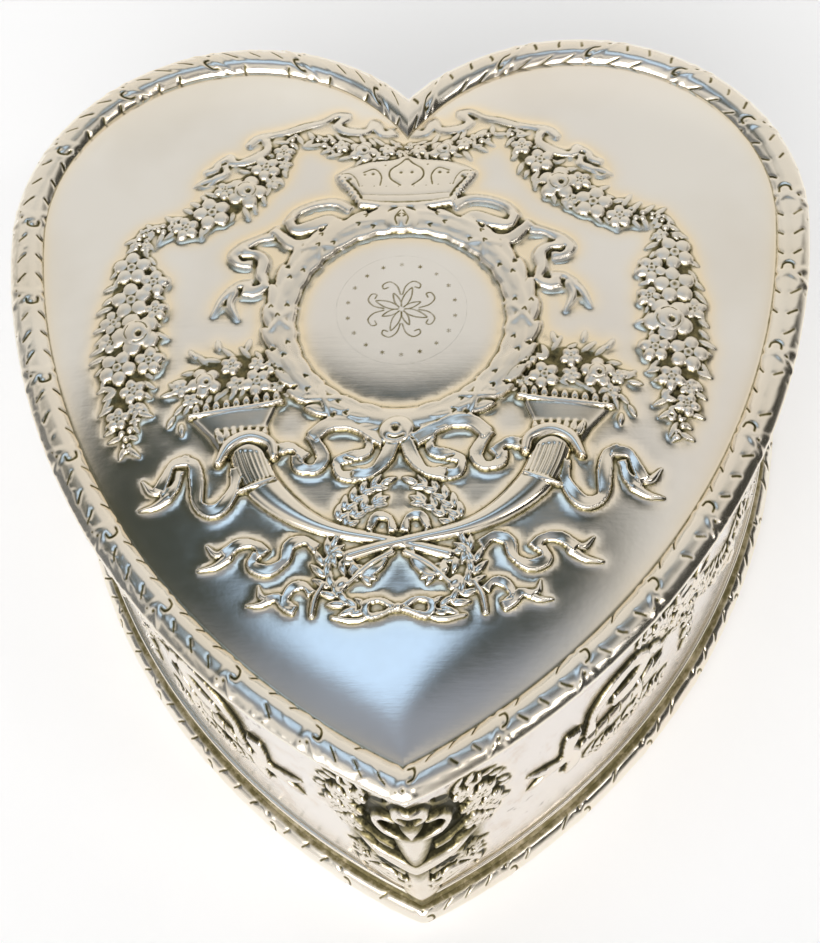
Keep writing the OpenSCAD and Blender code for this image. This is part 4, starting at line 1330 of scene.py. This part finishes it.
def upright_lining(side, word):
    """Padded velvet on a wall, sewn into upright channels, with a rolled top edge."""
    low, high = box_mm("wall_lining_" + word)
    z0, z1 = low[2], high[2]
    channel = 11.0
    outer, inner = 9.55, 10.75
    around = sum(half_length(outer))
    count = round(around / 0.7)
    along = np.linspace(0, 1, count)
    rows = [(outer, z0), (outer, z1 - 0.8)]
    for a in np.linspace(0.4, math.pi, 9):
        rows.append((outer + 0.6 - 0.6 * math.cos(a), z1 - 0.8 + 0.8 * math.sin(a)))
    rows += [(inner, z) for z in np.linspace(z1 - 1.6, z0, 44)]
    inset, z = (np.array(v)[:, None] for v in zip(*rows))
    wave = np.abs(np.sin(math.pi * along * around / channel))[None, :] ** 0.5
    height = np.clip((z1 - z) / 4.0, 0, 1) * np.clip((z - z0 - 5.5) / 5.0, 0, 1)
    crease = 0.12 * np.sin(z / 2.1 + 9 * along[None, :]) * (1 - wave)
    puff = np.where(inset >= inner, height * (1.1 * wave - 0.2 + crease), 0)
    points = plan_points(*half_points(along[None, :], inset + puff), z, side)
    faces = [grid_faces(len(rows), count)]
    piece = make_mesh("padded_wall_lining_" + word, points, faces, "box", VELVET,
                      ["wall_lining_" + word], flip=side < 0)


def stuffed(name, inset, z0, z1, cap):
    """A heart-shaped cushion that a short cloth simulation swells by no more than cap."""
    insets = [inset + 3.0, inset + 0.6, inset, inset, inset + 0.8, inset + 3.2]
    middle = (z0 + z1) / 2
    levels = [z0, z0 + 0.3, middle - 0.6, middle + 0.6, z1 - 0.4, z1]
    points, count = heart_rings(insets, levels)
    points = np.vstack([points, [[DOME_CENTRE[0], DOME_CENTRE[1] + LOBE_Y, z] for z in (z0, z1)]])
    faces = [tuple(f) for f in grid_faces(len(insets), count, wrap=True)]
    last = (len(insets) - 1) * count
    for k in range(count):
        faces.append(((k + 1) % count, k, len(points) - 2))
        faces.append((last + k, last + (k + 1) % count, len(points) - 1))
    mesh = bpy.data.meshes.new(name)
    mesh.from_pydata([tuple(p) for p in points * MM], [], faces)
    piece = bpy.data.objects.new(name, mesh)
    bpy.context.scene.collection.objects.link(piece)
    remesh = piece.modifiers.new("remesh", "REMESH")
    remesh.mode = "VOXEL"
    remesh.voxel_size = 0.002
    apply_modifiers(piece)
    points = points_of(piece)
    cloth = piece.modifiers.new("cloth", "CLOTH")
    cloth.settings.use_pressure = True
    cloth.settings.uniform_pressure_force = 4
    cloth.settings.effector_weights.gravity = 0
    cloth.point_cache.frame_end = 20
    for f in range(1, 21):
        bpy.context.scene.frame_set(f)
    graph = bpy.context.evaluated_depsgraph_get()
    after = points_of(piece.evaluated_get(graph))
    piece.modifiers.clear()
    bpy.context.scene.frame_set(1)
    move = after - points
    size = np.linalg.norm(move, axis=1)[:, None]
    points = points + move * np.minimum(1, cap * MM / np.maximum(size, 1e-9))
    return piece, points


def points_of(piece):
    """A piece's points, in metres."""
    mesh = piece.data
    out = np.empty(len(mesh.vertices) * 3)
    mesh.vertices.foreach_get("co", out)
    return out.reshape(-1, 3)


def apply_modifiers(piece):
    """Makes the modified mesh the piece's own."""
    graph = bpy.context.evaluated_depsgraph_get()
    mesh = bpy.data.meshes.new_from_object(piece.evaluated_get(graph))
    piece.modifiers.clear()
    piece.data = mesh


def dress(piece, points, body, node):
    """Gives a simulated cushion its final points, its velvet and its place in the frame."""
    piece.data.vertices.foreach_set("co", points.ravel())
    piece.data.polygons.foreach_set("use_smooth", np.full(len(piece.data.polygons), True))
    piece.modifiers.new("smooth", "SUBSURF").levels = 1
    piece.modifiers["smooth"].render_levels = 1
    apply_modifiers(piece)
    piece.data.materials.clear()
    piece.data.materials.append(VELVET)
    piece.data.update()
    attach(piece, body)
    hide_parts(node)


def floor_cushion():
    """The padded floor, a little crowned, with its corded seam."""
    low, high = box_mm("floor_pad")
    piece, p = stuffed("floor_cushion", 12.0, low[2] + 0.1, high[2] - 0.8, 3.0)
    x, y, z = p.T / MM
    depth = np.maximum(inset_at(x, y - LOBE_Y) - 11.0, 0)
    crown = np.clip(depth / 22.0, 0, 1)
    swell = 1.5 * crown * (2 - crown) + 0.35 * np.sin(x / 11.0 + 1) * np.cos(y / 13.0) * crown
    z = np.maximum(np.where(z > low[2] + 2.4, z + swell, z), low[2])
    dress(piece, np.stack([x, y, z], 1) * MM, "box", "floor_pad")
    piped_edge("floor_cushion_piping", 12.1, high[2] - 2.0, 0.8, "box")


def piped_edge(name, inset, z, r, body):
    """A corded seam round a cushion."""
    turns = np.linspace(0, 2 * math.pi, 11)[:-1]
    points, count = heart_rings(inset + r * np.cos(turns), z + r * np.sin(turns), 170)
    rows = grid_faces(len(turns), count, wrap=True)
    last = (len(turns) - 1) * count
    k = np.arange(count)
    closing = np.stack([last + k, last + (k + 1) % count, (k + 1) % count, k], 1)
    piece = make_mesh(name, points, [np.concatenate([rows, closing])], body, VELVET)


def lid_cushion():
    """The padded velvet under the lid, sewn down along crossing lines."""
    low, high = box_mm("lid_lining_pad")
    middle = (low[2] + high[2]) / 2
    piece, p = stuffed("lid_cushion", 11.6, middle - 3.0, middle + 3.0, 1.2)
    x, y, z = p.T / MM
    depth = np.maximum(inset_at(x, y - LOBE_Y) - 10.9, 0)
    u, v = (x + 0.8 * (y - LOBE_Y)) / 21.0, (x - 0.8 * (y - LOBE_Y)) / 21.0
    seam = np.minimum(np.abs(u - np.round(u)), np.abs(v - np.round(v))) * 16.0
    puff = 4.2 * np.clip(depth / 9.0, 0, 1) ** 0.7 * (1 - np.exp(-(seam / 2.6) ** 1.2))
    share = np.clip((z - middle) / 2.0 + 0.5, 0, 1)
    z = share * high[2] + (1 - share) * (low[2] + 0.9 - puff)
    dress(piece, np.stack([x, y, z], 1) * MM, "lid", "lid_lining_pad")


def bottom_cloth():
    """The leather cloth stretched over the base board, with its cut edge turned under the foot."""
    low, high = box_mm("base_cloth")
    insets = [9.3, 9.25, 9.6, 12, 16, 22, 28, 34, 40, 45]
    heights = [high[2], low[2] + 0.3, low[2] + 0.05] + [low[2]] * 7
    points, count = heart_rings(insets, heights, 180)
    x, y = points[:, 0], points[:, 1]
    inner = inset_at(x, y - LOBE_Y) > 10
    points[:, 2] += np.where(inner, 0.06 + 0.05 * np.sin(x / 9) * np.sin(y / 8 + 1), 0)
    middle = np.array([[0, -20 + LOBE_Y, low[2] + 0.05]])
    last = (len(insets) - 1) * count
    k = np.arange(count)
    fan = np.stack([last + k, last + (k + 1) % count, np.full(count, len(points))], 1)
    faces = [grid_faces(len(insets), count, wrap=True), fan]
    points = np.vstack([points, middle])
    piece = make_mesh("leather_base_cloth", points, faces, "box", LEATHER, ["base_cloth"])


for side, word in SIDES:
    upright_lining(side, word)
floor_cushion()
lid_cushion()
bottom_cloth()


# --------------------------------------------------------------- finishes of the pieces that stay as they are

FINISHES = {
    WOOD: ["carcass_wall_left", "carcass_wall_right", "base_board", "lid_board"],
    GILT: ["body_rim"],
    CARD: ["lid_lining_card"],
    SILVER_PLAIN: ["lid_bezel", "base_pins"],
    HINGE_METAL: [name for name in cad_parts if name.startswith("hinge")],
}
for material, names in FINISHES.items():
    for name in names:
        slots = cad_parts[name].data.materials
        slots.clear()
        slots.append(material)


# ---------------------------------------------------------------- stage, light and camera


def stage():
    """A plain pale floor."""
    mesh = bpy.data.meshes.new("floor")
    s = 9.0
    mesh.from_pydata([(-s, -s, 0), (s, -s, 0), (s, s, 0), (-s, s, 0)], [], [(0, 1, 2, 3)])
    floor = bpy.data.objects.new("floor", mesh)
    bpy.context.scene.collection.objects.link(floor)
    n = Finish("floor")
    n.set(Base_Color=(0.92, 0.92, 0.92, 1), Roughness=0.9, Specular_IOR_Level=0.1,
          Emission_Color=(1, 1, 1, 1), Emission_Strength=0.24)
    mesh.materials.append(n.material)


def lights():
    """A soft pale room, with dark patches and a cool window overhead, and lamps in front and to the right."""
    bpy.context.scene.view_settings.view_transform = "Standard"
    world = bpy.data.worlds.new("studio")
    bpy.context.scene.world = world
    n = Nodes(world)
    split = n.add("ShaderNodeSeparateXYZ", Vector=n.coordinates["Generated"]).outputs
    across = n.math("ARCTAN2", split[0], split[2])
    back = n.math("ARCTAN2", split[1], split[2])

    def patch(x, y, width, depth, soft, lean=0.0):
        """1 inside an oval of directions, in degrees from straight up, and 0 outside it."""
        u = n.math("SUBTRACT", across, math.radians(x))
        v = n.math("SUBTRACT", n.math("SUBTRACT", back, math.radians(y)), n.times(u, lean))
        u, v = n.math("DIVIDE", u, math.radians(width)), n.math("DIVIDE", v, math.radians(depth))
        distance = n.math("SQRT", n.plus(n.times(u, u), n.times(v, v)), 0)
        return n.add("ShaderNodeMapRange", interpolation_type="SMOOTHSTEP", Value=distance,
                     From_Min=1 - soft, From_Max=1 + soft, To_Min=1.0, To_Max=0.0).outputs[0]

    colour = (0.75, 0.728, 0.69)
    for factor, over in ((patch(0, 78, 75, 20, 0.4), (0.84, 0.81, 0.755)),
                         (patch(-9, 9, 33, 19.5, 0.22), (0.048, 0.056, 0.048)),
                         (patch(-32, 16, 15, 13, 0.28), (0.048, 0.056, 0.045)),
                         (patch(-5, -3, 31, 9, 0.5), (0.30, 0.33, 0.39)),
                         (patch(-8, 12, 16, 7.5, 0.35, 0.2), (0.68, 0.92, 1.24)),
                         (patch(75, -6, 36, 62, 0.2), (0.035, 0.035, 0.03)),
                         (patch(60, -28, 27, 30, 0.25), (0.035, 0.035, 0.03)),
                         (patch(-74, 2, 22, 55, 0.3), (0.15, 0.16, 0.17)),
                         (patch(4, -33, 20, 9, 0.3), (0.13, 0.13, 0.14)),
                         (patch(-16, -56, 38, 17, 0.3), (4.6, 4.55, 4.6)),
                         (patch(38, -22, 8, 5, 0.3), (6.0, 5.9, 5.8))):
        colour = n.mix(factor, colour, over)
    background = n.add("ShaderNodeBackground", Color=colour)
    n.add("ShaderNodeOutputWorld", Surface=background.outputs[0])


def camera():
    """A camera well above the front, turned a little to one side and rolled a little."""
    elevation, azimuth, roll = math.radians(60.0), math.radians(4.9), math.radians(-5.6)
    back = Vector((math.sin(azimuth) * math.cos(elevation), -math.cos(azimuth) * math.cos(elevation),
                   math.sin(elevation)))
    right = (-back).cross(Vector((0, 0, 1))).normalized()
    up = right.cross(-back)
    across = math.cos(roll) * right + math.sin(roll) * up
    upward = -math.sin(roll) * right + math.cos(roll) * up
    data = bpy.data.cameras.new("camera")
    data.sensor_width = 36
    data.lens = 80.3
    data.shift_x = -0.0233
    data.shift_y = 0.0016
    data.clip_start = 0.01
    cam = bpy.data.objects.new("camera", data)
    bpy.context.scene.collection.objects.link(cam)
    place = Vector((22.4, -262.0 + LOBE_Y, 424.7)) * MM
    rows = Matrix((across, upward, back)).transposed().to_4x4()
    cam.matrix_world = Matrix.Translation(place) @ rows
    bpy.context.scene.camera = cam


stage()
lights()
camera()
